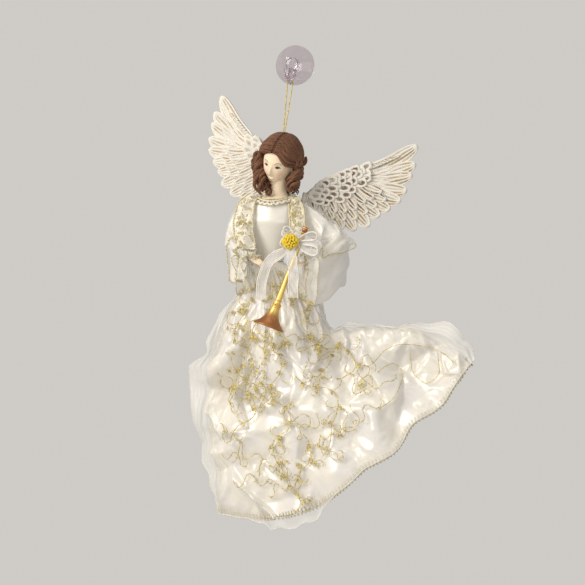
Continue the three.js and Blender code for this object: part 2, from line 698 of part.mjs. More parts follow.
// Middle surface of the skirt between its four edges
function skirtMiddle(u, v) {
  const top = SKIRT_LEFT.getPointAt(0).lerp(SKIRT_RIGHT.getPointAt(0), u);
  const sides = SKIRT_LEFT.getPointAt(v).lerp(SKIRT_RIGHT.getPointAt(v), u);
  const ends = top.clone().lerp(SKIRT_HEM.getPointAt(u), v);
  const hem = at(...HEM_LEFT).lerp(at(...TAIL_TIP), u);
  return sides.add(ends).sub(top.lerp(hem, v));
}

// Turn runs from the left seam at 0 to the right seam at 1
function skirtFace(turn, v, back) {
  const angle = Math.PI * turn;
  const u = (1 - Math.cos(angle)) / 2;
  const p = skirtMiddle(u, Math.min(v, 1));
  const depth = back ? SKIRT_BACK_BULGE : lerp(SKIRT_BULGE, TAIL_BULGE, smooth(u, 0.45, 1));
  const bulge = lerp(WAIST_BULGE, depth, Math.min(v, 1) ** 0.8) * Math.sin(angle);
  const size = (back ? BACK_FOLD_DEPTH : FOLD_DEPTH) * Math.min(v * 1.2, 1) * Math.sin(angle);
  const fold = size * Math.sin(2 * Math.PI * FOLD_COUNT * u + (back ? 1 : 3 * v));
  const front = bulge + fold * smooth(v, 0.05, 0.5) + SEAM_GAP / 2;
  return p.add(at(0, back ? -front : front, 0));
}

const [SKIRT_COLUMNS, SKIRT_ROWS] = [24, 11];
const skirtFront = () => sheet(
  SKIRT_COLUMNS,
  SKIRT_ROWS,
  (i, j) => skirtFace(i / SKIRT_COLUMNS, j / SKIRT_ROWS, false),
  SATIN,
);
const skirtBack = () => sheet(18, 10, (i, j) => skirtFace(1 - i / 18, j / 10, true), SATIN);

function skirtNormal(turn, v) {
  const step = 0.004;
  const [t0, t1] = [Math.max(turn - step, 0), Math.min(turn + step, 1)];
  const [v0, v1] = [Math.max(v - step, 0), Math.min(v + step, 1)];
  const across = skirtFace(t1, v, false).sub(skirtFace(t0, v, false));
  const down = skirtFace(turn, v1, false).sub(skirtFace(turn, v0, false));
  return across.cross(down).normalize();
}

// Value of a table of [key, value] rows between its keys
function table(rows, key) {
  let i = 0;
  while (i < rows.length - 2 && key > rows[i + 1][0]) {
    i += 1;
  }
  const t = (key - rows[i][0]) / (rows[i + 1][0] - rows[i][0]);
  return lerp(rows[i][1], rows[i + 1][1], smooth(t, 0, 1));
}

const LEFT_FLARE = [[0, 1], [0.15, 5], [0.24, 14], [0.33, 9], [0.39, 3], [0.45, 21], [0.52, 20], [0.64, 14],
  [0.8, 9], [0.88, 3], [1, 2]];
const RIGHT_FLARE = [[0, 1], [0.34, 2], [0.45, 9], [0.52, 7], [0.62, 2], [0.74, 7], [0.84, 17], [0.93, 16],
  [1, 6]];
const HEM_DROP = [[0, 0], [0.2, 0], [0.28, 3], [0.36, 11], [0.45, 12], [0.52, 3], [0.58, 0], [1, 0]];

function overskirt() {
  const flap = 3;
  const main = SKIRT_COLUMNS - 5;
  const first = 3 / SKIRT_COLUMNS;
  const last = (3 + main) / SKIRT_COLUMNS;
  const stand = SEAT_GAP + ORGANZA + OVERSKIRT_STAND;
  const on = (turn, v) => skirtFace(turn, v, false).addScaledVector(skirtNormal(turn, v), -stand);
  const face = (i, j) => {
    const v = Math.max(0.4, j) / SKIRT_ROWS;
    if (i < flap) {
      const edge = SKIRT_LEFT.getPointAt(v).add(at(-table(LEFT_FLARE, v), 7, 0));
      const base = on(first, v);
      const t = 1 - i / flap;
      return base.lerp(edge, t).add(at(0, 2 * Math.sin(14 * v) * t, 0));
    }
    if (i > flap + main) {
      const way = SKIRT_RIGHT.getTangentAt(v);
      const out = new THREE.Vector3(-way.z, 0, way.x).multiplyScalar(table(RIGHT_FLARE, v));
      const edge = SKIRT_RIGHT.getPointAt(v).add(out).add(at(0, 8, 0));
      const t = (i - flap - main) / flap;
      return on(last, v).lerp(edge, t);
    }
    const turn = lerp(first, last, (i - flap) / main);
    const p = on(turn, v);
    const drop = j === SKIRT_ROWS ? table(HEM_DROP, (1 - Math.cos(Math.PI * turn)) / 2) : 0;
    return p.add(p.clone().sub(on(turn, v - 0.03)).setLength(drop));
  };
  return sheet(2 * flap + main, SKIRT_ROWS, face, ORGANZA);
}

function hemWire() {
  const inside = SATIN + 3 * SEAT_GAP + HEM_WIRE_DIAMETER / 2;
  const points = [];
  for (let i = 3; i <= SKIRT_COLUMNS - 3; i += 1) {
    const turn = i / SKIRT_COLUMNS;
    const above = skirtFace(turn, 1 - 1 / SKIRT_ROWS, false);
    const p = skirtFace(turn, 1, false).lerp(above, 0.16);
    points.push(p.addScaledVector(skirtNormal(turn, 0.98), inside));
  }
  return cord(points, HEM_WIRE_DIAMETER, 2 * points.length - 2);
}

// Trumpet, from the mouthpiece to the bell

const TRUMPET_TOP = at(33.5, 40, -94);
const TRUMPET_WAY = at(-33.7, 12, -94.7).normalize();
const trumpetPoint = (t) => TRUMPET_TOP.clone().addScaledVector(TRUMPET_WAY, TRUMPET_LENGTH * t);

function trumpetSolid(grow, hollow) {
  const [len, r, bell] = [TRUMPET_LENGTH, TRUMPET_TUBE_RADIUS, TRUMPET_BELL_RADIUS];
  const start = r * 1.35;
  const outside = [
    [0, start], [0.02, start * 1.1], [0.05, start * 0.75], [0.08, r * 0.7], [0.1, r], [0.5, r * 1.05],
    [0.7, r * 1.3], [0.82, lerp(r, bell, 0.16)], [0.9, lerp(r, bell, 0.36)], [0.95, lerp(r, bell, 0.62)],
    [0.98, lerp(r, bell, 0.88)], [1, bell],
  ];
  const grown = outside.map(([t, radius]) => [radius + grow, t * len + (t ? grow : -grow)]);
  const profile = [[0, -grow], ...grown];
  if (hollow) {
    const inside = [[1, bell - TRUMPET_WALL], [0.972, lerp(r, bell, 0.72)], [0.93, lerp(r, bell, 0.38)],
      [0.87, lerp(r, bell, 0.14)], [0.8, r * 0.8]];
    inside.forEach(([t, radius]) => profile.push([radius, t * len]));
    profile.push([0, 0.79 * len]);
  } else {
    profile.push([0, len + grow]);
  }
  const turn = new THREE.Quaternion().setFromUnitVectors(new THREE.Vector3(0, 1, 0), TRUMPET_WAY);
  const geometry = lathe(profile, 20).applyQuaternion(turn);
  return solid(geometry.translate(TRUMPET_TOP.x, TRUMPET_TOP.y, TRUMPET_TOP.z));
}

// Bow and flower

const BOW = trumpetPoint(0.15).add(at(-3.6, 4.2, 0));

function bowKnot() {
  const ball = new THREE.SphereGeometry(BOW_KNOT_RADIUS, 12, 8).scale(1, 0.7, 0.9);
  return geometryOf(cut(solid(ball.translate(BOW.x, BOW.y, BOW.z)), trumpetSolid(SEAT_GAP, false)));
}

function bowLoop(way, length, height, width) {
  const along = way.clone().normalize();
  const side = new THREE.Vector3().crossVectors(along, new THREE.Vector3(0, 1, 0)).normalize();
  const depth = new THREE.Vector3().crossVectors(along, side).normalize();
  const centre = BOW.clone().addScaledVector(along, BOW_KNOT_RADIUS + 2 * SEAT_GAP + RIBBON + length / 2);
  const count = 24;
  const rings = [];
  for (let i = 0; i < count; i += 1) {
    const angle = 2 * Math.PI * i / count;
    const open = 0.35 + 0.65 * (1 + Math.cos(angle)) / 2;
    const out = along.clone().multiplyScalar(Math.cos(angle)).addScaledVector(side, Math.sin(angle));
    const p = centre.clone().addScaledVector(along, length / 2 * Math.cos(angle))
      .addScaledVector(side, height / 2 * open * Math.sin(angle));
    const half = width / 2 * (0.2 + 0.8 * open * open);
    rings.push([[half, 0], [half, RIBBON], [-half, RIBBON], [-half, 0]].map(([w, t]) => p.clone()
      .addScaledVector(depth, w).addScaledVector(out, t)));
  }
  return loft(rings, true);
}

const fromBow = (points) => points.map((p) => BOW.clone().add(at(...p)));

function ribbonTail(points) {
  const curve = new THREE.CatmullRomCurve3(points);
  const [columns, rows] = [2, 12];
  return sheet(columns, rows, (i, j) => {
    const t = j / rows;
    const across = (i / columns - 0.5) * RIBBON_WIDTH * Math.min(1, 0.45 + 2.2 * t);
    const way = curve.getTangentAt(t);
    const side = new THREE.Vector3(-way.z, 0, way.x).normalize();
    return curve.getPointAt(t).addScaledVector(side, across).add(at(0, 1.2 * Math.sin(7 * t) * t, 0));
  }, RIBBON);
}

function flowerCluster() {
  const ball = new THREE.SphereGeometry(1, 18, 10).rotateX(Math.PI / 2);
  const position = ball.getAttribute("position");
  for (let i = 0; i < position.count; i += 1) {
    const d = new THREE.Vector3().fromBufferAttribute(position, i);
    const around = Math.atan2(d.z, d.x);
    const r = FLOWER_RADIUS * (1 + 0.1 * Math.cos(6 * around) * (1 - d.y * d.y));
    position.setXYZ(i, d.x * r, d.y * FLOWER_RADIUS * 0.6, d.z * r * 0.85);
  }
  const front = BOW_KNOT_RADIUS * 0.7 + SEAT_GAP + FLOWER_RADIUS * 0.6 * 0.9;
  return ball.translate(BOW.x - 3, BOW.y - front, BOW.z + 0.5);
}

// Wings: blades in a plane of span and chord, then set on the back

const RIGHT_WING = { root: at(16, -21, -58), span: 22, sweep: 6, side: 1 };
const LEFT_WING = { root: at(-5, -27, -48), span: 51.5, sweep: 5, side: -1 };
const FLIGHT = [
  [[0.48, -0.02], [1, 0]], [[0.48, -0.08], [0.93, -0.29]], [[0.47, -0.12], [0.87, -0.45]],
  [[0.46, -0.16], [0.78, -0.67]], [[0.44, -0.18], [0.7, -0.8]], [[0.4, -0.18], [0.59, -0.87]],
  [[0.35, -0.17], [0.49, -0.91]], [[0.29, -0.16], [0.38, -1]], [[0.23, -0.15], [0.26, -0.97]],
  [[0.17, -0.14], [0.17, -0.86]], [[0.11, -0.12], [0.08, -0.71]], [[0.06, -0.1], [0, -0.52]],
];

function blade(from, to, width, lift, stations) {
  const way = to.clone().sub(from);
  const side = new THREE.Vector3(-way.z, 0, way.x).normalize();
  const rings = stations.map(([t, share]) => {
    const p = from.clone().addScaledVector(way, t);
    const half = width / 2 * share;
    const ridge = FEATHER_RIDGE * (0.4 + 0.6 * share);
    const edge = (s, y) => p.clone().addScaledVector(side, s * half).add(at(0, lift + y, 0));
    return [edge(-1, 0.5), edge(0, ridge), edge(1, 0), edge(0, -1)];
  });
  return solid(loft(rings));
}

const LONG_BLADE = [[0, 0.55], [0.5, 0.95], [0.86, 0.85], [1, 0.2]];
const SHORT_BLADE = [[0, 0.7], [0.7, 1], [1, 0.3]];

function wing(spec) {
  const plane = (s, c) => new THREE.Vector3(s * WING_SPAN, 0, c * WING_CHORD);
  const flight = ([base, tip]) => blade(plane(...base), plane(...tip), FEATHER_WIDTH, 0, LONG_BLADE);
  const blades = FLIGHT.map(flight);
  for (let i = 0; i < 9; i += 1) {
    const [base, tip] = FLIGHT[i];
    const [next, nextTip] = FLIGHT[i + 1];
    const from = plane(...base).lerp(plane(...next), 0.5);
    const to = from.clone().lerp(plane(...tip).lerp(plane(...nextTip), 0.5), 0.55);
    blades.push(blade(from, to, FEATHER_WIDTH, 1.1, SHORT_BLADE));
  }
  for (let row = 0; row < 2; row += 1) {
    for (let i = 0; i < 5; i += 1) {
      const s = 0.46 - 0.092 * (i + 0.5 * row);
      const from = plane(s, 0.02 - 0.13 * (1 - row));
      const to = from.clone().add(plane(0.02 + 0.03 * (1 - i / 5), -0.26));
      blades.push(blade(from, to, FEATHER_WIDTH * 1.15, 2 + 0.8 * row, SHORT_BLADE));
    }
  }
  const edge = [[0, -0.06], [0.16, 0.04], [0.3, 0.03], [0.45, 0], [0.62, -0.03], [0.86, -0.02]];
  const rib = taper(edge.map(([s, c]) => plane(s, c)), (t) => lerp(3.2, 1.1, t), 10, 6);
  const web = new THREE.Shape([[0, -0.04], [0.2, 0], [0.47, -0.03], [0.5, -0.2], [0.38, -0.3], [0.18, -0.3],
    [0.04, -0.24]].map(([s, c]) => new THREE.Vector2(s * WING_SPAN, c * WING_CHORD)));
  const plate = new THREE.ExtrudeGeometry(web, { depth: 3, bevelEnabled: false }).rotateX(Math.PI / 2);
  const place = new THREE.Matrix4().makeTranslation(spec.root)
    .multiply(new THREE.Matrix4().makeRotationZ(rad(spec.side * spec.sweep)))
    .multiply(new THREE.Matrix4().makeRotationY(rad(-spec.side * spec.span)))
    .multiply(new THREE.Matrix4().makeScale(spec.side, 1, 1));
  const made = join(solid(rib), solid(plate.translate(0, 1.5, 0)), ...blades).transform(place.elements);
  return geometryOf(join(made, wingStem(spec.side, 0)), 0.08);
}

// Assembly

const finish = (color, roughness, metalness = 0) => new THREE.MeshStandardMaterial({
  color, roughness, metalness, side: THREE.FrontSide,
});
const CLEAR = finish(0xd8d4dc, 0.15);
const GOLD = finish(0xc9a24a, 0.4, 0.8);
const SKIN = finish(0xe8bd9c, 0.6);
const BROWN = finish(0x4a2d20, 0.55);
const WHITE = finish(0xf2efe6, 0.35);
const SHEER = finish(0xf4efdf, 0.5);
const LACE = finish(0xe6dbb8, 0.8);
const FEATHER = finish(0xe9e4da, 0.6);
const STUFFING = finish(0xd9d2c2, 0.95);
const YELLOW = finish(0xdcae2c, 0.7);
const WIRE = finish(0x8a8a8a, 0.4, 0.9);

const gripGap = [trumpetSolid(SEAT_GAP, false), armSolid(RIGHT_ARM, SEAT_GAP)];
const rightWrist = RIGHT_ARM[RIGHT_ARM.length - 1];
const leftWrist = LEFT_ARM[LEFT_ARM.length - 1];
const grip = trumpetPoint(0.38).sub(rightWrist).normalize();

const hanger = [
  ["suction_cup", suctionCup(), CLEAR],
  ["cup_hook", hook(), CLEAR],
  ["hanging_cord", hangingCord(), GOLD],
  ["cord_knot", cordKnot(), GOLD],
];
const figure = [
  ["head", head(), SKIN],
  ["hair", hair(), BROWN],
  ["torso_core", torsoCore(), STUFFING],
  ["bodice", bodice(), WHITE],
  ["collar_trim", collar(), LACE],
  ["arm_left", arm(LEFT_ARM), STUFFING],
  ["arm_right", arm(RIGHT_ARM), STUFFING],
  ["hand_left", hand(leftWrist, at(0.9, 0.35, -0.3).normalize(), at(0.3, -0.6, -0.75).normalize(),
    [armSolid(LEFT_ARM, SEAT_GAP)]), SKIN],
  ["hand_right", hand(rightWrist, grip, at(-0.6, 0.5, -0.6).normalize(), gripGap), SKIN],
  ["sleeve_left", sleeve(LEFT_SLEEVE), WHITE],
  ["sleeve_right", sleeve(RIGHT_SLEEVE), WHITE],
  ["stole_left", stole(LEFT_STOLE, 4), LACE],
  ["stole_right", stole(RIGHT_STOLE, 4), LACE],
  ["skirt_front", skirtFront(), WHITE],
  ["skirt_back", skirtBack(), WHITE],
  ["hem_wire", hemWire(), WIRE],
  ["overskirt", overskirt(), SHEER],
  ["trumpet", geometryOf(trumpetSolid(0, true)), GOLD],
  ["bow_knot", bowKnot(), SHEER],
  ["bow_loop_left", bowLoop(at(-12, 2, 5), 14, 13, RIBBON_WIDTH), SHEER],
  ["bow_loop_right", bowLoop(at(18, 2, -5), 24, 13, RIBBON_WIDTH), SHEER],
  ["ribbon_tail_left", ribbonTail(fromBow([[-3.4, 0.5, -3.6], [-10, 5, -9], [-26, 2, -19], [-33, -1, -34],
    [-35, -2.4, -55]])), SHEER],
  ["ribbon_tail_right", ribbonTail(fromBow([[-0.4, 0.8, -4.4], [-1.6, 6, -11], [0, 7.6, -31],
    [-0.5, 5.6, -53]])), SHEER],
  ["flower_cluster", flowerCluster(), YELLOW],
  ["wing_left", wing(LEFT_WING), FEATHER],
  ["wing_right", wing(RIGHT_WING), FEATHER],
];

const angel = new THREE.Group();
angel.name = "hanging_angel";
for (const [name, geometry, material] of hanger) {
  const mesh = new THREE.Mesh(geometry, material);
  mesh.name = name;
  angel.add(mesh);
}
for (const [name, geometry, material] of figure) {
  const mesh = new THREE.Mesh(geometry.translate(0, -CROWN_DEPTH, -CROWN_DROP), material);
  mesh.name = name;
  angel.add(mesh);
}

export default angel;
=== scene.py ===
"""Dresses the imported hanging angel: gown, wings, head, trumpet and the clear hook that holds it."""

from __future__ import annotations

import logging
import math
from dataclasses import dataclass, field
from enum import Enum
from typing import Callable, Iterable, Sequence

import bmesh
import bpy
import numpy as np
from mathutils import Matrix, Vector
from mathutils.bvhtree import BVHTree

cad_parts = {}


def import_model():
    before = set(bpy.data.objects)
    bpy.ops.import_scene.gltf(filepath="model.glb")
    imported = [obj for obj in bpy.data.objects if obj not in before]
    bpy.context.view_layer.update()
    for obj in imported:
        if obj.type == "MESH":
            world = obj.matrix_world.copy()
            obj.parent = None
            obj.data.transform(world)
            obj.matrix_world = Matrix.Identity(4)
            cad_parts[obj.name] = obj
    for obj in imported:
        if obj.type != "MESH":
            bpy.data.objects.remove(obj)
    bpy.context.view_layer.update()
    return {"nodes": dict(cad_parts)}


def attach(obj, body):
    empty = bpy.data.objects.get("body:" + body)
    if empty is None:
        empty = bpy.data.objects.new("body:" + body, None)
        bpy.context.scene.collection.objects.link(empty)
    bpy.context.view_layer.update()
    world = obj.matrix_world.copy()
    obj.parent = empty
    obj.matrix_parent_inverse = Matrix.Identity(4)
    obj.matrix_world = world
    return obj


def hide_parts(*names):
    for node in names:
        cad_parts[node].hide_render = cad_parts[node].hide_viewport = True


LOG = logging.getLogger("hanging_angel")
MM = 0.001
Array = np.ndarray
Color = tuple[float, float, float]
Point = tuple[float, float, float]
Pair = tuple[float, float]
Rows = tuple[tuple[float, ...], ...]

# The crown of the head, where the cord is tied, off the wall and below the cup
CROWN_DEPTH = 40.0
CROWN_DROP = 71.0
KNOT_RADIUS = 1.8
SEAT_GAP = 0.3


class Body(str, Enum):
    """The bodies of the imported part."""

    CUP = "cup"
    HOOK = "hook"
    CORD = "cord"
    ANGEL = "angel"


class Side(Enum):
    """The viewer's left or right of the figure."""

    LEFT = -1
    RIGHT = 1


# Shape helpers


def figure(points: Array) -> Array:
    """Millimetres right of, in front of and above the crown, as world metres."""
    p = np.asarray(points, float)
    return np.stack([p[..., 0], -p[..., 1] - CROWN_DEPTH, p[..., 2] - CROWN_DROP], -1) * MM


def wall(points: Array) -> Array:
    """Millimetres from the middle of the cup's back face, as world metres."""
    return np.asarray(points, float) * MM


def unit(vectors: Array) -> Array:
    """Vectors brought to length one."""
    return vectors / np.maximum(np.linalg.norm(vectors, axis=-1, keepdims=True), 1e-9)


def smooth(x: Array, low: float, high: float) -> Array:
    """Zero below low, one above high, and an even s-curve between."""
    t = np.clip((np.asarray(x, float) - low) / (high - low), 0, 1)
    return t * t * (3 - 2 * t)


def mix(a: float | Array, b: float | Array, t: float | Array) -> Array:
    """A value between a and b."""
    return a + (b - a) * t


def circle(count: int) -> Array:
    """Even angles round a circle, from zero."""
    return 2 * math.pi * np.arange(count) / count


def shares(count: int) -> Array:
    """Even shares from 0 to 1, both ends included."""
    return np.linspace(0, 1, count)


def table(rows: Sequence[Sequence[float]], key: Array) -> Array:
    """Values of a table of [key, value] rows, eased between its keys.

    Args:
        rows: The table, its keys rising.
        key: Where it is read.
    Returns:
        One value for each key.
    """
    keys = np.array([row[0] for row in rows])
    values = np.array([row[1] for row in rows])
    i = np.clip(np.searchsorted(keys, key, side="right") - 1, 0, len(keys) - 2)
    t = smooth((key - keys[i]) / (keys[i + 1] - keys[i]), 0, 1)
    return mix(values[i], values[i + 1], t)


class Spline:
    """A smooth curve through points of any dimension, read by its share of length."""

    def __init__(self, points: Sequence[Sequence[float]], steps: int = 40) -> None:
        """Samples a centripetal curve finely between the points.

        Args:
            points: The points.
            steps: Samples between two of them.
        """
        p = np.array(points, float)
        p = np.vstack([2 * p[0] - p[1], p, 2 * p[-1] - p[-2]])
        gaps = np.maximum(np.linalg.norm(np.diff(p, axis=0), axis=1) ** 0.5, 1e-6)
        t = np.linspace(0, 1, steps, endpoint=False)[:, None]
        rows = []
        for i in range(1, len(p) - 2):
            a, b, c = gaps[i - 1], gaps[i], gaps[i + 1]
            start = (p[i] - p[i - 1]) / a - (p[i + 1] - p[i - 1]) / (a + b) + (p[i + 1] - p[i]) / b
            end = (p[i + 1] - p[i]) / b - (p[i + 2] - p[i]) / (b + c) + (p[i + 2] - p[i + 1]) / c
            h00 = 2 * t**3 - 3 * t**2 + 1
            h10 = t**3 - 2 * t**2 + t
            h11 = t**3 - t**2
            rows.append(h00 * p[i] + (1 - h00) * p[i + 1] + (h10 * start + h11 * end) * b)
        self.points = np.vstack([*rows, p[-2:-1]])
        lengths = np.linalg.norm(np.diff(self.points, axis=0), axis=1)
        self.reach = np.concatenate([[0], np.cumsum(lengths)])

    @property
    def length(self) -> float:
        """The curve's length."""
        return float(self.reach[-1])

    def at(self, share: float | Array) -> Array:
        """The points at shares of the length from 0 to 1."""
        key = np.clip(share, 0, 1) * self.reach[-1]
        return np.stack([np.interp(key, self.reach, column) for column in self.points.T], -1)

    def way(self, share: float | Array) -> Array:
        """The directions of the curve there."""
        return unit(self.at(np.asarray(share) + 0.004) - self.at(np.asarray(share) - 0.004))


def frames(path: Array) -> tuple[Array, Array]:
    """Two vectors across a path at each point, carried along it without twist.

    Args:
        path: Points of the path.
    Returns:
        The two sets of vectors.
    """
    way = unit(np.gradient(path, axis=0))
    first = np.eye(3)[np.argmin(np.abs(way[0]))]
    across = [unit(np.cross(way[0], first))]
    for direction in way[1:]:
        carried = across[-1] - direction * across[-1].dot(direction)
        across.append(unit(carried))
    sides = np.array(across)
    return sides, np.cross(way, sides)


def grid_faces(rows: int, columns: int, closed: bool = False) -> list[tuple[int, ...]]:
    """The four-sided faces of a grid of points.

    Args:
        rows: Number of rows.
        columns: Number of points in a row.
        closed: Whether the last column meets the first.
    Returns:
        The faces' corners.
    """
    spans = columns if closed else columns - 1
    i, j = np.meshgrid(np.arange(rows - 1), np.arange(spans), indexing="ij")
    k = (j + 1) % columns
    corners = np.stack([i * columns + j, i * columns + k, (i + 1) * columns + k, (i + 1) * columns + j], -1)
    return [tuple(face) for face in corners.reshape(-1, 4).tolist()]


class Bundle:
    """Gathers the points, faces and paint values of many parts into one mesh."""

    def __init__(self, place: Callable[[Array], Array] = figure) -> None:
        """Starts empty; place turns the parts' millimetres into world metres.

        Args:
            place: Where the parts' points go in the world.
        """
        self.place = place
        self.points: list[Array] = []
        self.faces: list[tuple[int, ...]] = []
        self.values: list[dict[str, Array]] = []
        self.cloth: list[Array] = []
        self.size = 0

    def add(self, points: Array, faces: Iterable[Sequence[int]], cloth: Array | None = None,
            **values: float | Array) -> None:
        """Adds one part.

        Args:
            points: Its points in millimetres.
            faces: Its faces' corners.
            cloth: Places of the points on the flat cloth, in millimetres.
            values: Paint values, one for each point or one for all.
        """
        flat = np.asarray(points, float).reshape(-1, 3)
        self.points.append(flat)
        self.faces.extend(tuple(corner + self.size for corner in face) for face in faces)
        self.values.append({key: np.broadcast_to(np.ravel(value), len(flat)) if np.ndim(value) else
                            np.full(len(flat), float(value)) for key, value in values.items()})
        self.cloth.append(np.zeros((len(flat), 2)) if cloth is None else np.reshape(cloth, (-1, 2)))
        self.size += len(flat)

    def sheet(self, grid: Array, closed: bool = False, **values: float | Array) -> None:
        """Adds an open sheet whose cloth places follow its rows and columns.

        Args:
            grid: Rows of points.
            closed: Whether each row closes on itself.
            values: Paint values.
        """
        rows, columns = grid.shape[:2]
        across = np.linalg.norm(np.diff(grid, axis=1, prepend=grid[:, :1]), axis=2).cumsum(1)
        down = np.linalg.norm(np.diff(grid, axis=0, prepend=grid[:1]), axis=2).cumsum(0)
        self.add(grid, grid_faces(rows, columns, closed), np.stack([across, down], -1), **values)

    def shell(self, top: Array, under: Array, **values: float | Array) -> None:
        """Adds a closed body between two grids of the same size.

        Args:
            top: Rows of points of the upper side.
            under: Rows of points of the lower side.
            values: Paint values for the upper side's points, repeated below.
        """
        rows, columns = top.shape[:2]
        half = rows * columns
        faces = grid_faces(rows, columns)
        rim = [*range(columns), *range(2 * columns - 1, half, columns),
               *range(half - 2, half - columns - 1, -1),
               *range(half - 2 * columns, 0, -columns)]
        turned = [tuple(half + corner for corner in reversed(face)) for face in faces]
        wrap = [(a, half + a, half + b, b) for a, b in zip(rim, rim[1:] + rim[:1])]
        both = {key: np.tile(np.broadcast_to(np.ravel(value), half), 2) for key, value in values.items()}
        self.add(np.concatenate([top.reshape(-1, 3), under.reshape(-1, 3)]), faces + turned + wrap, **both)

    def loft(self, rings: Array, capped: bool = True, **values: float | Array) -> None:
        """Adds a tube through rings of points.

        Args:
            rings: One row of points for each ring.
            capped: Whether its ends are closed.
            values: Paint values.
        """
        rows, columns = rings.shape[:2]
        faces = grid_faces(rows, columns, True)
        if capped:
            faces += [tuple(range(columns - 1, -1, -1)), tuple(range((rows - 1) * columns, rows * columns))]
        self.add(rings, faces, **values)

    def tube(self, path: Array, radius: float | Array, sides: int = 6, flat: float = 1.0,
             normals: Array | None = None, **values: float | Array) -> None:
        """Adds a tube along a path.

        Args:
            path: Points of the path.
            radius: One radius, or one for each point.
            sides: Sides of the tube.
            flat: Its thickness along the normals as a share of its width.
            normals: Vectors across the path that the flat side faces.
            values: Paint values, one for each point of the path or one for all.
        """
        if normals is None:
            u, w = frames(path)
        else:
            w = normals
            u = unit(np.cross(np.gradient(path, axis=0), w))
        angle = circle(sides)
        r = np.broadcast_to(np.asarray(radius, float), len(path))[:, None, None]
        rings = path[:, None] + r * (np.cos(angle)[:, None] * u[:, None]
                                     + flat * np.sin(angle)[:, None] * w[:, None])
        spread = {key: np.repeat(value, sides) if np.ndim(value) else value for key, value in values.items()}
        self.loft(rings, **spread)

    def ball(self, centre: Array, radii: float | Sequence[float], rows: int = 6, sides: int = 8,
             **values: float) -> None:
        """Adds a round bead.

        Args:
            centre: Its middle.
            radii: Its radius, or its three half sizes.
            rows: Rings from pole to pole.
            sides: Points of each ring.
            values: Paint values.
        """
        polar = np.linspace(0, math.pi, rows + 1)[1:-1, None]
        turn = circle(sides)
        ring = np.stack([np.sin(polar) * np.cos(turn), np.sin(polar) * np.sin(turn),
                         np.cos(polar) * np.ones(sides)], -1)
        self.loft(np.asarray(centre) + ring * np.asarray(radii), **values)

    def build(self, name: str, finish: Finish, closed: bool = True) -> bpy.types.Object:
        """Makes the mesh object.

        Args:
            name: The piece's name.
            finish: What it is made of.
            closed: Whether its bodies are closed, so that their faces are turned out.
        Returns:
            The new object.
        """
        mesh = bpy.data.meshes.new(name)
        mesh.from_pydata(self.place(np.vstack(self.points)).tolist(), [], self.faces)
        for key in sorted({key for values in self.values for key in values}):
            column = [values.get(key, np.zeros(len(part))) for part, values in zip(self.points, self.values)]
            layer = mesh.attributes.new(key, "FLOAT", "POINT")
            layer.data.foreach_set("value", np.concatenate(column).astype(np.float32))
        corner = np.empty(len(mesh.loops), int)
        mesh.loops.foreach_get("vertex_index", corner)
        uv = mesh.uv_layers.new(name="cloth")
        uv.data.foreach_set("uv", np.vstack(self.cloth)[corner].ravel().astype(np.float32))
        if closed:
            work = bmesh.new()
            work.from_mesh(mesh)
            bmesh.ops.remove_doubles(work, verts=work.verts, dist=1e-7)
            bmesh.ops.recalc_face_normals(work, faces=work.faces)
            work.to_mesh(mesh)
            work.free()
        mesh.polygons.foreach_set("use_smooth", np.ones(len(mesh.polygons), bool))
        mesh.materials.append(finish.material())
        mesh.update()
        piece = bpy.data.objects.new(name, mesh)
        bpy.context.scene.collection.objects.link(piece)
        return piece


def lathe_rings(profile: Sequence[Sequence[float]], sides: int) -> Array:
    """Rings of [radius, along] rows turned about the Y axis.

    Args:
        profile: The rows, in order.
        sides: Points of each ring.
    Returns:
        The rings.
    """
    p = np.array(profile, float)
    turn = circle(sides)
    return np.stack([p[:, :1] * np.cos(turn), p[:, 1:] + 0 * turn, p[:, :1] * np.sin(turn)], -1)


def dress(piece: bpy.types.Object, body: Body, slot: str, *replaced: str) -> bpy.types.Object:
    """Rides a piece on its body, and hides and logs the CAD nodes it stands for.

    Args:
        piece: The new piece.
        body: The body it moves with.
        slot: The record's material slot; not used.
        replaced: CAD nodes that it stands for.
    Returns:
        The piece.
    """
    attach(piece, body.value)
    if replaced:
        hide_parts(*replaced)
    LOG.info("%s rides on %s, for %s", piece.name, body.value, ", ".join(replaced) or "no node")
    return piece


# Shader helpers


class Sock:
    """A shader socket that takes part in Python arithmetic."""

    def __init__(self, kit: ShaderKit, socket: bpy.types.NodeSocket) -> None:
        self.kit = kit
        self.socket = socket

    def _math(self, operation: str, a: Sock | float, b: Sock | float) -> Sock:
        """One Math node."""
        return self.kit.node("ShaderNodeMath", {"operation": operation}, {0: a, 1: b})

    def __add__(self, other: Sock | float) -> Sock:
        """Sum."""
        return self._math("ADD", self, other)

    def __radd__(self, other: float) -> Sock:
        """Reflected sum."""
        return self._math("ADD", other, self)

    def __sub__(self, other: Sock | float) -> Sock:
        """Difference."""
        return self._math("SUBTRACT", self, other)

    def __rsub__(self, other: float) -> Sock:
        """Reflected difference."""
        return self._math("SUBTRACT", other, self)

    def __mul__(self, other: Sock | float) -> Sock:
        """Product."""
        return self._math("MULTIPLY", self, other)

    def __rmul__(self, other: float) -> Sock:
        """Reflected product."""
        return self._math("MULTIPLY", other, self)

    def most(self, other: Sock) -> Sock:
        """The larger of two."""
        return self._math("MAXIMUM", self, other)

    def eased(self, low: float, high: float) -> Sock:
        """Zero below low, one above high, smooth between."""
        return self.kit.node("ShaderNodeMapRange", {"interpolation_type": "SMOOTHSTEP"},
                             {"Value": self, "From Min": low, "From Max": high})


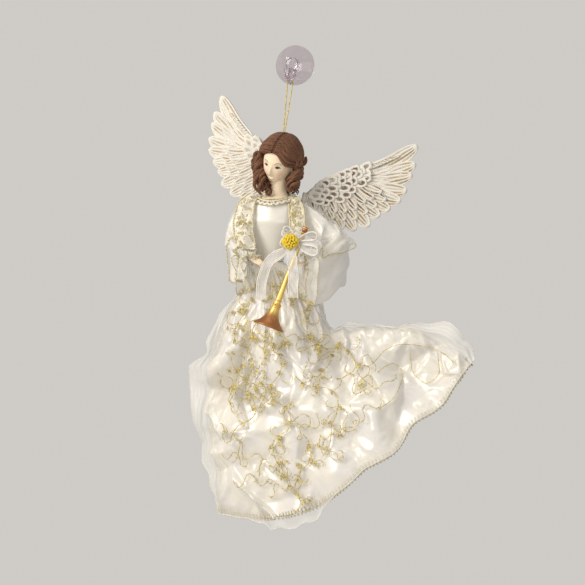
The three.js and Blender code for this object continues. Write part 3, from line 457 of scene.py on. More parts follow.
class ShaderKit:
    """Builds the nodes of one material, or those of the world."""

    def __init__(self, owner: bpy.types.Material | bpy.types.World) -> None:
        """Clears the owner's nodes and starts again.

        Args:
            owner: The material or the world.
        """
        owner.use_nodes = True
        self.tree = owner.node_tree
        self.tree.nodes.clear()
        kind = "World" if isinstance(owner, bpy.types.World) else "Material"
        self.out = self.tree.nodes.new(f"ShaderNodeOutput{kind}")

    def feed(self, socket: bpy.types.NodeSocket, value: Sock | float | Sequence[float]) -> None:
        """Links or sets one input.

        Args:
            socket: The input.
            value: A socket to link, or a value to set.
        """
        if isinstance(value, Sock):
            self.tree.links.new(value.socket, socket)
        elif socket.type == "RGBA":
            socket.default_value = (*value, 1.0)
        else:
            socket.default_value = value

    def node(self, kind: str, settings: dict | None = None, inputs: dict | None = None,
             output: int | str = 0) -> Sock:
        """Adds a node.

        Args:
            kind: The node's type.
            settings: Its properties, set first.
            inputs: Values or links of its sockets.
            output: Which of its outputs to use.
        Returns:
            That output.
        """
        made = self.tree.nodes.new(kind)
        for key, value in (settings or {}).items():
            setattr(made, key, value)
        for key, value in (inputs or {}).items():
            self.feed(made.inputs[key], value)
        return Sock(self, made.outputs[output])

    def set(self, **values: Sock | float | Sequence[float]) -> None:
        """Ends in a Principled shader with these inputs, named with _ for spaces."""
        named = {key.replace("_", " ").title().replace("Ior", "IOR"): value for key, value in values.items()}
        self.feed(self.out.inputs[0], self.node("ShaderNodeBsdfPrincipled", None, named))

    def blend(self, factor: Sock | float, a: Sock | Color, b: Sock | Color) -> Sock:
        """A colour between a and b."""
        return self.node("ShaderNodeMix", {"data_type": "RGBA"}, {0: factor, 6: a, 7: b}, 2)

    def value(self, name: str) -> Sock:
        """A paint value of the mesh."""
        return self.node("ShaderNodeAttribute", {"attribute_name": name}, output="Fac")

    def noise(self, size_mm: float, detail: float = 3.0) -> Sock:
        """Soft noise with features of about the given size.

        Args:
            size_mm: That size.
            detail: How fine it goes on inside them.
        Returns:
            Its value.
        """
        place = self.node("ShaderNodeTexCoord", output="Object")
        return self.node("ShaderNodeTexNoise", None,
                         {"Vector": place, "Scale": 1 / (size_mm * MM), "Detail": detail})

    def threads(self, pitch_mm: float, direction: str) -> Sock:
        """Fine even bands across the cloth.

        Args:
            pitch_mm: From one band to the next.
            direction: The way they follow one another, X or Y.
        Returns:
            Their height.
        """
        place = self.node("ShaderNodeTexCoord", output="UV")
        return self.node("ShaderNodeTexWave", {"bands_direction": direction},
                         {"Vector": place, "Scale": math.pi / (10 * pitch_mm), "Distortion": 0.6}, "Fac")

    def bump(self, height: Sock, strength: float, distance_mm: float) -> Sock:
        """A normal from a height."""
        return self.node("ShaderNodeBump", None,
                         {"Height": height, "Strength": strength, "Distance": distance_mm * MM})


@dataclass(frozen=True)
class Finish:
    """A finish with its own name and main colour."""

    name: str
    color: Color

    def paint(self, kit: ShaderKit) -> None:
        """Fills the new material's nodes.

        Args:
            kit: Where the nodes go.
        """
        raise NotImplementedError

    def material(self) -> bpy.types.Material:
        """The material, made once.

        Returns:
            The material.
        """
        made = bpy.data.materials.get(self.name)
        if made is None:
            made = bpy.data.materials.new(self.name)
            self.paint(ShaderKit(made))
        return made


@dataclass(frozen=True)
class Satin(Finish):
    """Pearly woven satin with a soft broad shine."""

    shade: Color = (0.77, 0.755, 0.765)
    gloss: float = 0.24
    pearl: float = 0.05

    def paint(self, kit: ShaderKit) -> None:
        """Warm cloth with cooler clouds under fine threads.

        Args:
            kit: Where the nodes go.
        """
        cloud = kit.noise(28).eased(0.35, 0.7)
        threads = kit.threads(0.5, "X") * 0.6 + kit.threads(0.8, "Y") * 0.4
        kit.set(base_color=kit.blend(cloud * 0.7, self.color, self.shade),
                roughness=self.gloss + 0.1 * kit.noise(14), metallic=self.pearl,
                normal=kit.bump(threads, 0.06, 0.1), sheen_weight=0.1, sheen_roughness=0.4,
                specular_IOR_level=0.5)


@dataclass(frozen=True)
class Organza(Finish):
    """Sheer crisp cloth: fine threads with gaps between."""

    veil: float = 0.0
    milk: float = 0.46

    def paint(self, kit: ShaderKit) -> None:
        """See-through between the threads, milkier in clouds and where it hangs free.

        Args:
            kit: Where the nodes go.
        """
        threads = kit.threads(0.9, "X") * 0.5 + kit.threads(0.9, "Y") * 0.5
        alpha = self.veil + self.milk * kit.value("free") + 0.06 * kit.noise(9) + 0.05 * (threads - 0.5)
        kit.set(base_color=self.color, alpha=alpha, roughness=0.38,
                normal=kit.bump(threads, 0.1, 0.15), sheen_weight=0.4, sheen_roughness=0.3)


@dataclass(frozen=True)
class Thread(Finish):
    """Metallic embroidery thread that turns from bright to dull along its way."""

    dull: Color = (0.36, 0.30, 0.10)
    metal: float = 0.55

    def paint(self, kit: ShaderKit) -> None:
        """Bright and dull stretches with a fine twist.

        Args:
            kit: Where the nodes go.
        """
        turn = kit.noise(1.8, 2).eased(0.38, 0.62)
        kit.set(base_color=kit.blend(turn, self.color, self.dull), metallic=self.metal,
                roughness=0.3 + 0.2 * turn, normal=kit.bump(kit.noise(0.5), 0.35, 0.2))


@dataclass(frozen=True)
class Skin(Finish):
    """Matt painted resin skin with a blush."""

    blush: Color = (0.78, 0.36, 0.28)

    def paint(self, kit: ShaderKit) -> None:
        """Even skin, rosier where the mesh says so.

        Args:
            kit: Where the nodes go.
        """
        rosy = kit.value("blush") + 0.08 * kit.noise(6)
        kit.set(base_color=kit.blend(rosy, self.color, self.blush), roughness=0.5 + 0.12 * kit.noise(2),
                normal=kit.bump(kit.noise(0.6), 0.05, 0.1), subsurface_weight=0.08, subsurface_scale=0.002)


@dataclass(frozen=True)
class Carved(Finish):
    """Painted resin with painted shade in its grooves and a painted highlight on its ridges."""

    # Colours of the painted shade in the grooves and of the painted highlight on the ridges
    groove: Color = (0.05, 0.022, 0.014)
    ridge: Color = (0.24, 0.13, 0.085)
    gloss: float = 0.42
    patch_mm: float = 2.5

    def paint(self, kit: ShaderKit) -> None:
        """Painted shade in the grooves and a painted highlight on the ridges, from the mesh's values, broken
        by noise.

        Args:
            kit: Where the nodes go.
        """
        mottle = kit.noise(self.patch_mm, 4)
        # Painted shade where the mesh marks grooves, painted highlight where it marks ridges
        deep = (kit.value("groove") + 0.5 * (mottle - 0.5)).eased(0.35, 0.95)
        high = (kit.value("ridge") + 0.6 * (mottle - 0.5)).eased(0.55, 1.0)
        tone = kit.blend(high, kit.blend(deep, self.color, self.groove), self.ridge)
        kit.set(base_color=tone, roughness=self.gloss + 0.15 * mottle, specular_IOR_level=0.15,
                normal=kit.bump(kit.noise(0.8, 4), 0.12, 0.15))


@dataclass(frozen=True)
class Whitewash(Finish):
    """White paint over resin, rubbed with brown and ochre that stays in the recesses."""

    ochre: Color = (0.42, 0.29, 0.11)
    brown: Color = (0.15, 0.088, 0.058)
    grey: Color = (0.40, 0.36, 0.30)

    def paint(self, kit: ShaderKit) -> None:
        """White on the ridges, grey and ochre in the barbs, brown in the pits.

        Args:
            kit: Where the nodes go.
        """
        patch = kit.noise(7, 4)
        fleck = kit.noise(1.3, 3)
        barb = (kit.value("groove") + 0.7 * (fleck - 0.5)).eased(0.2, 0.75)
        pit = (kit.value("pit") + 0.6 * (fleck - 0.5)).eased(0.2, 0.9)
        wash = kit.blend(patch.eased(0.42, 0.6), self.grey, self.ochre)
        tone = kit.blend(pit, kit.blend(barb * 0.9, self.color, wash), self.brown)
        kit.set(base_color=tone, roughness=0.48 + 0.2 * fleck,
                normal=kit.bump(fleck, 0.15, 0.2))


@dataclass(frozen=True)
class Gilt(Finish):
    """Antique gold that darkens to copper towards the bell, with painted shade inside the bell."""

    copper: Color = (0.40, 0.17, 0.065)
    # Colour of the painted shade inside the bell
    dark: Color = (0.14, 0.06, 0.03)

    def paint(self, kit: ShaderKit) -> None:
        """Gold to copper along the tube, with painted shade inside the bell that deepens towards its throat,
        and a little darkening on the rim and beads.

        Args:
            kit: Where the nodes go.
        """
        mottle = kit.noise(4, 4)
        reddish = (kit.value("copper") + 0.45 * (mottle - 0.5)).eased(0.2, 0.9)
        tone = kit.blend(reddish, self.color, self.copper)
        # Painted shade inside the bell, from the mesh's values
        sunk = (kit.value("groove") + 0.3 * (mottle - 0.5)).eased(0.3, 1.0)
        kit.set(base_color=kit.blend(sunk, tone, self.dark),
                metallic=0.85, roughness=0.26 + 0.25 * mottle, normal=kit.bump(kit.noise(1.2, 3), 0.08, 0.2))


@dataclass(frozen=True)
class Petal(Finish):
    """Matt dyed petals, with painted shade between them."""

    # The darker yellow, used for random flecks and for the painted shade on the core between the petals
    deep: Color = (0.42, 0.24, 0.01)

    def paint(self, kit: ShaderKit) -> None:
        """Two yellows in flecks, and the darker one as painted shade where the mesh marks the core between
        the petals.

        Args:
            kit: Where the nodes go.
        """
        fleck = kit.noise(1.6, 4)
        sunk = (kit.value("groove") + fleck - 0.5).eased(0.2, 0.9)
        kit.set(base_color=kit.blend(sunk, self.color, self.deep),
                roughness=0.6, normal=kit.bump(fleck, 0.3, 0.3), sheen_weight=0.2)


@dataclass(frozen=True)
class ClearPlastic(Finish):
    """Clear soft plastic with a faint mauve cast."""

    def paint(self, kit: ShaderKit) -> None:
        """Clear, with moulding haze in its gloss.

        Args:
            kit: Where the nodes go.
        """
        haze = kit.noise(5)
        kit.set(base_color=self.color, transmission_weight=0.96, roughness=0.04 + 0.1 * haze.eased(0.45, 0.8),
                IOR=1.46, normal=kit.bump(kit.noise(3, 2), 0.06, 0.3))


@dataclass(frozen=True)
class Plain(Finish):
    """A plain paint or cloth with a little mottling."""

    rough: float = 0.6
    metal: float = 0.0

    def paint(self, kit: ShaderKit) -> None:
        """One colour, a little darker in patches.

        Args:
            kit: Where the nodes go.
        """
        patch = kit.noise(3, 3)
        darker = tuple(0.8 * c for c in self.color)
        kit.set(base_color=kit.blend(patch * 0.6, self.color, darker), metallic=self.metal,
                roughness=self.rough + 0.15 * (patch - 0.5), normal=kit.bump(patch, 0.1, 0.1))


SATIN = Satin("pearl_satin", (0.83, 0.80, 0.735))
SHEER = Organza("sheer_organza", (0.90, 0.885, 0.83))
RIBBON_SHEER = Organza("ribbon_organza", (0.92, 0.91, 0.90), veil=0.38)
LACE_NET = Organza("lace_net", (0.89, 0.86, 0.75), veil=0.72)
CUFF_LACE = Organza("cuff_lace", (0.93, 0.91, 0.85), veil=0.9)
GOLD_THREAD = Thread("gold_embroidery", (0.80, 0.68, 0.27), dull=(0.40, 0.31, 0.095), metal=0.25)
CORD_GOLD = Thread("gold_cord", (0.74, 0.58, 0.16), dull=(0.50, 0.40, 0.08), metal=0.35)
CREAM_THREAD = Thread("cream_stitching", (0.80, 0.74, 0.57), dull=(0.62, 0.54, 0.35), metal=0.05)
WHITE_THREAD = Thread("white_edging", (0.90, 0.885, 0.86), dull=(0.78, 0.76, 0.72), metal=0.0)
SKIN = Skin("doll_skin_paint", (0.95, 0.79, 0.585), blush=(0.88, 0.55, 0.42))
# Hair paint, with a dark painted shade for the grooves and a light painted highlight for the ridges
HAIR = Carved("hair_paint_with_painted_light", (0.20, 0.098, 0.058), groove=(0.05, 0.02, 0.011),
              ridge=(0.38, 0.215, 0.14),
              gloss=0.5)
FEATHER = Whitewash("antiqued_feather", (0.81, 0.78, 0.715))
GILT = Gilt("antique_gold_with_bell_shade", (0.80, 0.55, 0.17))
YELLOW = Petal("yellow_petals_with_painted_shade", (0.84, 0.62, 0.03))
CLEAR = ClearPlastic("mauve_clear_plastic", (0.72, 0.655, 0.70))
BODY_CLOTH = Plain("body_cloth", (0.80, 0.74, 0.64), rough=0.8)
STEEL = Plain("hem_wire_steel", (0.50, 0.50, 0.50), rough=0.35, metal=0.9)
EYE_WHITE = Plain("eye_white", (0.66, 0.60, 0.52), rough=0.3)
EYE_DARK = Plain("eye_dark", (0.02, 0.011, 0.007), rough=0.6)
LASH = Plain("lash_paint", (0.05, 0.026, 0.018), rough=0.5)
BROW = Plain("brow_paint", (0.20, 0.105, 0.065), rough=0.6)
LIP = Plain("lip_paint", (0.62, 0.30, 0.23), rough=0.45)


# The hook and its cord


@dataclass
class SuctionHook:
    """The clear suction cup, and the hook that turns on its neck."""

    cup_radius: float = 20.0
    dome: float = 8.0
    neck_radius: float = 4.4
    neck_end: float = 12.0
    knob_radius: float = 6.0
    knob_end: float = 16.5
    ring_wall: float = 2.2
    peg_depth: float = 18.0
    peg_drop: float = 19.3
    bend: float = 5.0
    peg_radius: float = 1.7
    lip_half_width: float = 4.75
    lip_height: float = 14.0

    def cup_profile(self) -> list[tuple[float, float]]:
        """The outline of the cup, pressed flat, from its back to the end of its knob.

        Returns:
            Rows of radius and place along its axis.
        """
        edge = self.cup_radius
        back = [(r, 0.0) for r in np.linspace(0.0, edge - 0.6, 10)]
        rim = [(edge - 0.3, 0.0), (edge, -0.3), (edge, -0.8), (edge - 0.3, -1.1)]
        t = shares(18)[1:]
        control = (mix(self.neck_radius, edge, 0.45), -mix(1, self.dome, 0.75))
        dome = [tuple((1 - s) ** 2 * np.array(rim[-1]) + 2 * s * (1 - s) * np.array(control)
                      + s * s * np.array((self.neck_radius, -self.dome))) for s in t]
        end = -self.knob_end
        step = -self.neck_end
        wide = self.knob_radius
        knob = [(self.neck_radius, step + 0.4), (self.neck_radius + 0.4, step), (wide - 0.5, step),
                (wide, step - 0.5), (wide, end + 2), (wide * 0.92, end + 0.9), (wide * 0.75, end + 0.3),
                (wide * 0.5, end), (0.0, end)]
        return [*back, *rim, *dome, *knob]

    def build_cup(self) -> None:
        """The cup, turned about its axis."""
        parts = Bundle(wall)
        parts.loft(lathe_rings(self.cup_profile(), 72), capped=False)
        dress(parts.build("clear_cup", CLEAR), Body.CUP, "clear_plastic", "suction_cup")

    def build_hook(self) -> None:
        """The ring on the neck, and the strap that bends up into a lip."""
        parts = Bundle(wall)
        inner = self.neck_radius + SEAT_GAP
        back, front = -self.dome - SEAT_GAP, -self.neck_end + SEAT_GAP
        turn = circle(16)
        half = (back - front) / 2
        radius = inner + self.ring_wall / 2 * (1 + np.clip(1.3 * np.cos(turn), -1, 1))
        along = (back + front) / 2 + half * np.clip(1.3 * np.sin(turn), -1, 1)
        ring = lathe_rings([*zip(radius, along)], 48)
        parts.add(ring, grid_faces(17, 48, True)[: -48] + [
            (15 * 48 + j, 15 * 48 + (j + 1) % 48, (j + 1) % 48, j) for j in range(48)])
        middle = (back + front) / 2
        top = -self.peg_drop + self.lip_height
        level = -self.peg_drop + self.bend
        wide = self.lip_half_width
        rows = [(middle, -inner - self.ring_wall / 2, wide * 0.85, half),
                (middle - 0.1, -8.2, wide * 0.8, half)]
        for angle in np.linspace(0, math.pi, 9):
            rows.append((-self.peg_depth + self.bend * math.cos(angle), level - self.bend * math.sin(angle),
                         mix(self.peg_radius, wide * 0.8, math.cos(angle) ** 4), self.peg_radius))
        lip = -self.peg_depth - self.bend
        rows += [(lip, mix(level, top, 0.6), wide, self.peg_radius * 0.9),
                 (lip, top - 1, wide * 0.9, self.peg_radius * 0.7),
                 (lip, top, wide * 0.5, self.peg_radius * 0.3)]
        strap = Spline(rows).at(shares(56))
        way = unit(np.gradient(strap[:, :2], axis=0))
        angle = circle(24)
        rings = np.stack([strap[:, 2:3] * np.cos(angle),
                          strap[:, :1] - way[:, 1:] * strap[:, 3:] * np.sin(angle),
                          strap[:, 1:2] + way[:, :1] * strap[:, 3:] * np.sin(angle)], -1)
        parts.loft(rings)
        dress(parts.build("clear_hook", CLEAR), Body.HOOK, "clear_plastic", "cup_hook")


@dataclass
class HangingCord:
    """The gold cord: one loop over the hook's bend, both ends in the knot at the crown."""

    diameter: float = 1.2
    ply_turn: float = 2.6
    plies: int = 3
    hook: SuctionHook = field(default_factory=SuctionHook)

    def route(self) -> Array:
        """The points that the cord follows, from the knot over the bend and back.

        Returns:
            The points, in millimetres from the wall.
        """
        wrap = self.hook.peg_radius + 1.6 * SEAT_GAP + self.diameter / 2
        peg = np.array([0, -self.hook.peg_depth, -self.hook.peg_drop])
        crown = np.array([0, -CROWN_DEPTH, -CROWN_DROP])
        low = crown + unit(peg - crown) * (KNOT_RADIUS + SEAT_GAP)
        apart = np.array([self.diameter * 0.62, 0, 0])
        reach = np.array([wrap, 0, 0])
        up = [mix(low - apart, peg - reach, t) for t in (0, 0.12, 0.4, 0.7, 0.93)]
        over = [peg + wrap * np.array([-math.cos(a), 0, math.sin(a)]) for a in np.linspace(0, math.pi, 9)]
        down = [mix(low + apart, peg + reach, t) for t in (0.93, 0.7, 0.4, 0.12, 0)]
        return np.array([*up, *over, *down])

    def build(self) -> None:
        """Plies twisted along the route, and the knot tied at its ends."""
        curve = Spline(self.route())
        steps = int(curve.length / self.ply_turn * 9)
        path = curve.at(shares(steps))
        u, w = frames(path)
        turn = 2 * math.pi * np.linspace(0, curve.length / self.ply_turn, steps)
        parts = Bundle(wall)
        thick = self.diameter * 0.27
        for ply in range(self.plies):
            angle = (turn + 2 * math.pi * ply / self.plies)[:, None]
            parts.tube(path + (self.diameter / 2 - thick) * (np.cos(angle) * u + np.sin(angle) * w), thick, 6)
        cord = dress(parts.build("gold_cord", CORD_GOLD), Body.CORD, "gold_thread", "hanging_cord")
        knot = self.build_knot()
        ends = wall(self.route())

    def build_knot(self) -> bpy.types.Object:
        """An overhand knot with two trimmed ends.

        Returns:
            The knot's piece.
        """
        parts = Bundle(wall)
        t = np.linspace(0, 2 * math.pi, 72)
        middle = np.array([0, -CROWN_DEPTH, -CROWN_DROP])
        loop = np.stack([np.sin(t) + 2 * np.sin(2 * t), np.cos(t) - 2 * np.cos(2 * t), -1.2 * np.sin(3 * t)],
                        -1)
        parts.tube(middle + loop * KNOT_RADIUS * 0.24, self.diameter * 0.36, 8)
        parts.ball(middle, KNOT_RADIUS * 0.62)
        for side in (-1, 1):
            end = np.array([[0, 0, 0], [side * 0.8, -1.0, 0.4], [side * 1.3, -2.0, 0.9]])
            parts.tube(middle + end, [0.4, 0.42, 0.5], 6)
        return dress(parts.build("cord_knot_tied", CORD_GOLD), Body.ANGEL, "gold_thread", "cord_knot")


# Head, hair and neck


def turned(points: Array, axis: int, degrees: float) -> Array:
    """Points turned about a frame axis by the right-hand rule.

    Args:
        points: The points.
        axis: 0, 1 or 2 for the frame's X, Y or Z.
        degrees: How far.
    Returns:
        The turned points.
    """
    angle = math.radians(degrees)
    c, s = math.cos(angle), math.sin(angle)
    a, b = [(1, 2), (2, 0), (0, 1)][axis]
    out = np.array(points, float)
    out[..., a] = c * points[..., a] - s * points[..., b]
    out[..., b] = s * points[..., a] + c * points[..., b]
    return out


@dataclass
class Head:
    """The moulded doll head on its neck and shoulder plate."""

    width: float = 31.0
    depth: float = 38.0
    height: float = 47.0
    long_face: float = 0.18
    yaw: float = -7.3
    roll: float = 18.0
    pitch: float = 24.2
    centre: Point = (-2.8, 3.0, -26.5)
    neck_width: float = 17.0
    neck_base: Point = (-8.6, -2.0, -65.0)
    bust: Pair = (16.5, 12.5)

    @property
    def half(self) -> Array:
        """Half its width, depth and height."""
        return np.array([self.width, self.depth, self.height]) / 2

    def on_figure(self, points: Array) -> Array:
        """Head millimetres (right, front, up) as the figure's.

        Args:
            points: Places on the head.
        Returns:
            The places on the figure.
        """
        p = np.array(points, float) * [1, -1, 1]
        p = turned(turned(turned(p, 0, self.pitch), 2, self.yaw), 1, self.roll)
        return p * [1, -1, 1] + self.centre

    def place(self, points: Array) -> Array:
        """Head millimetres as world metres."""
        return figure(self.on_figure(points))

    def relief(self, x: Array, z: Array) -> Array:
        """How far the face stands out of a plain skull.

        Args:
            x: Places across the face.
            z: Places up the face.
        Returns:
            Millimetres to the front.
        """
        def bump(cx: float, cz: float, wide: float, tall: float) -> Array:
            """A soft mound on both sides of the face."""
            return np.exp(-(((np.abs(x) - cx) / wide) ** 2) - ((z - cz) / tall) ** 2)

        bridge = np.exp(-((x / 1.7) ** 2)) * smooth(z, -10, -7.2) * (1 - smooth(z, -7, 2)) * 3.3
        out = bridge + 0.9 * bump(1.9, -8.4, 1.1, 1.1) - 0.35 * bump(1.1, -9.6, 0.6, 0.5)
        out = out - 1.7 * bump(6.3, -0.8, 3.4, 2.2) + 1.0 * bump(6.2, -1.1, 2.4, 1.3)
        out = out + 0.5 * bump(6, 2.6, 4.2, 1.3) + 0.9 * bump(8.6, -7.5, 4, 4)
        out = out + 1.15 * bump(0, -12.6, 3.1, 0.9) + 1.25 * bump(0, -14.6, 2.5, 1.0)
        out = out - 0.75 * bump(0, -13.6, 3.6, 0.4) - 0.3 * bump(0, -11, 0.8, 1.2)
        return out + 1.7 * bump(0, -19.4, 4, 2.6) - 0.5 * bump(0, -16.8, 3.2, 0.9)

    def skull(self, across: Array, up: Array, front: Array) -> Array:
        """The head's surface.

        Args:
            across: Right part of the directions from its middle.
            up: Upward part.
            front: Forward part.
        Returns:
            Points in head millimetres.
        """
        low = np.maximum(0, -up)
        x = across * self.width / 2 * (1 - 0.42 * low**1.6)
        z = up * self.height / 2
        y = front * self.depth / 2 * (1 - 0.5 * low * smooth(-front, 0, 0.2))
        y = y + smooth(front, 0.15, 0.5) * self.relief(x, z)
        return np.stack([x, y, z + self.long_face * np.minimum(0, z + 1.5)], -1)

    def face_point(self, x: Array, z: Array, proud: float) -> Array:
        """Points on the face at places across and up it, standing a little proud.

        Args:
            x: Places across.
            z: Places up.
            proud: How far they stand out.
        Returns:
            The points, in head millimetres.
        """
        up = z / (self.height / 2)
        across = x / (self.width / 2 * (1 - 0.42 * np.maximum(0, -up) ** 1.6))
        front = np.sqrt(np.maximum(0.02, 1 - across**2 - up**2))
        return self.skull(across, up, front) + np.array([0, proud, 0])

    def build(self) -> None:
        """Skull with ears and neck, then the painted features."""
        parts = Bundle(lambda p: p)
        polar = np.linspace(0.02, math.pi - 0.02, 120)[:, None]
        turn = np.linspace(0, 2 * math.pi, 176, endpoint=False)
        p = self.skull(np.sin(polar) * np.cos(turn), np.cos(polar) + 0 * turn, np.sin(polar) * np.sin(turn))
        cheek = np.exp(-(((np.abs(p[..., 0]) - 8) / 3.6) ** 2) - ((p[..., 2] + 7.5) / 3.4) ** 2)
        blush = 0.5 * cheek * (p[..., 1] > 0)
        parts.loft(self.place(p), blush=blush)
        parts.loft(figure(self.neck_rings()), blush=0.0)
        for side in (-1, 1):
            self.add_ear(parts, side)
        dress(parts.build("doll_head", SKIN), Body.ANGEL, "painted_skin", "head")
        self.build_features()

    def add_ear(self, parts: Bundle, side: int) -> None:
        """A small moulded ear with a rolled rim.

        Args:
            parts: The head's parts.
            side: Which side of the head.
        """
        t = np.linspace(0.1 * math.pi, 1.75 * math.pi, 26)
        rim = np.stack([side * (14.2 + 0.9 * np.sin(t / 2)), 0.5 - 2.1 * np.sin(t), -4.5 + 4.0 * np.cos(t)],
                       -1)
        parts.tube(self.place(rim), 0.85 * MM, 8, blush=0.18)
        lobe = np.array([[side * 13.6, 0.8, -1.5], [side * 14.3, 0.2, -4.5], [side * 13.8, 0.9, -7.8]])
        parts.tube(self.place(Spline(lobe).at(shares(10))), np.array([1.4] * 10) * MM, 8, blush=0.1)

    def neck_rings(self) -> Array:
        """Rings from inside the head down to the shoulder plate.

        Returns:
            The rings, in figure millimetres.
        """
        r = self.neck_width / 2
        bx, bf, bz = self.neck_base
        bust_x, bust_y = self.bust
        rows = [(-3, 0, -34, r * 0.96, r * 0.96), (-6.9, -1.4, -55.7, r, r),
                (bx, bf, bz + 4, mix(r, bust_x, 0.42), mix(r, bust_y, 0.42)),
                (bx, bf, bz + 1.2, bust_x * 0.97, bust_y * 0.97), (bx, bf, bz, bust_x, bust_y)]
        rows = Spline(rows).at(shares(30))
        turn = circle(56)
        return np.stack([rows[:, :1] + rows[:, 3:4] * np.cos(turn),
                         rows[:, 1:2] + rows[:, 4:5] * np.sin(turn),
                         rows[:, 2:3] + 0 * turn], -1)

    def patch(self, parts: Bundle, outline: Callable[[Array], tuple[Array, Array]], proud: float) -> None:
        """Adds a thin painted patch on the face.

        Args:
            parts: Where it goes.
            outline: Places across and up the face for turns from 0 to 1.
            proud: How far it stands out.
        """
        turn = np.linspace(0, 1, 28, endpoint=False)
        x, z = outline(turn)
        rings = []
        for share in (1.0, 0.75, 0.5, 0.25, 0.02):
            cx, cz = mix(x.mean(), x, share), mix(z.mean(), z, share)
            rings.append(self.face_point(cx, cz, proud * (1 if share < 1 else -1)))
        parts.loft(self.place(np.array(rings)), capped=True)

    def stroke(self, parts: Bundle, points: Sequence[Sequence[float]], radii: Sequence[float]) -> None:
        """Adds a painted line along places across and up the face.

        Args:
            parts: Where it goes.
            points: The places.
            radii: The line's half width at each.
        """
        line = Spline(np.column_stack([points, radii])).at(shares(16))
        path = self.place(self.face_point(line[:, 0], line[:, 1], 0.02))
        parts.tube(path, line[:, 2] * MM, 6)

    def build_features(self) -> None:
        """Calm downcast eyes, fine brows and a small closed mouth."""
        whites, darks, lashes, brows, lips = (Bundle(lambda p: p) for _ in range(5))
        for side in (-1, 1):
            def almond(t: Array, s: int = side) -> tuple[Array, Array]:
                """Outline of the white of an eye."""
                a = 2 * math.pi * t
                return s * (6.2 + 2.2 * np.cos(a)), -1.5 + 0.72 * np.sin(a) * (1 - 0.35 * np.cos(a) ** 2)

            def iris(t: Array, s: int = side) -> tuple[Array, Array]:
                """Outline of its dark part.

                Args:
                    t: Places along the outline.
                    s: Which eye, -1 or 1.
                Returns:
                    Places across and up the face.
                """
                a = 2 * math.pi * t
                return (s * 6.2 - 0.15 + 1.75 * np.cos(a),
                        -1.45 + 0.78 * np.sin(a) * (1 - 0.2 * np.cos(a) ** 2))

            self.patch(whites, almond, 0.12)
            self.patch(darks, iris, 0.2)
            self.stroke(lashes,
                        [(side * 3.8, -1.5), (side * 5, -0.75), (side * 6.6, -0.6), (side * 8.9, -1.35)],
                        [0.28, 0.62, 0.66, 0.28])
            self.stroke(lashes, [(side * 4.4, -2.1), (side * 6.4, -2.4), (side * 8.2, -1.8)],
                        [0.05, 0.11, 0.08])
            self.stroke(brows, [(side * 3.3, 2.3), (side * 5.2, 3.3), (side * 7.4, 3.4), (side * 9.6, 2.3)],
                        [0.16, 0.28, 0.26, 0.1])

        def upper(t: Array) -> tuple[Array, Array]:
            """Outline of the upper lip.

            Args:
                t: Places along the outline.
            Returns:
                Places across and up the face.
            """
            a = 2 * math.pi * t
            bow = 0.22 * np.cos(2 * a) * (np.sin(a) > 0)
            above = (0.6 * np.abs(np.sin(a)) ** 0.8 - bow) * (np.sin(a) > 0)
            below = 0.45 * (1 - np.abs(np.cos(a))) * (np.sin(a) <= 0)
            return 2.4 * np.cos(a), -13.1 + above - below

        def lower(t: Array) -> tuple[Array, Array]:
            """Outline of the lower lip."""
            a = 2 * math.pi * t
            return 2.0 * np.cos(a), -14.3 + mix(0.75, 0.5, np.sin(a) > 0) * np.sin(a)

        self.patch(lips, upper, 0.1)
        self.patch(lips, lower, 0.1)
        for parts, name, finish in ((whites, "eye_whites", EYE_WHITE), (darks, "irises", EYE_DARK),
                                    (lashes, "lash_lines", LASH), (brows, "eyebrows", BROW),
                                    (lips, "lips", LIP)):
            dress(parts.build(name, finish), Body.ANGEL, "painted_skin")


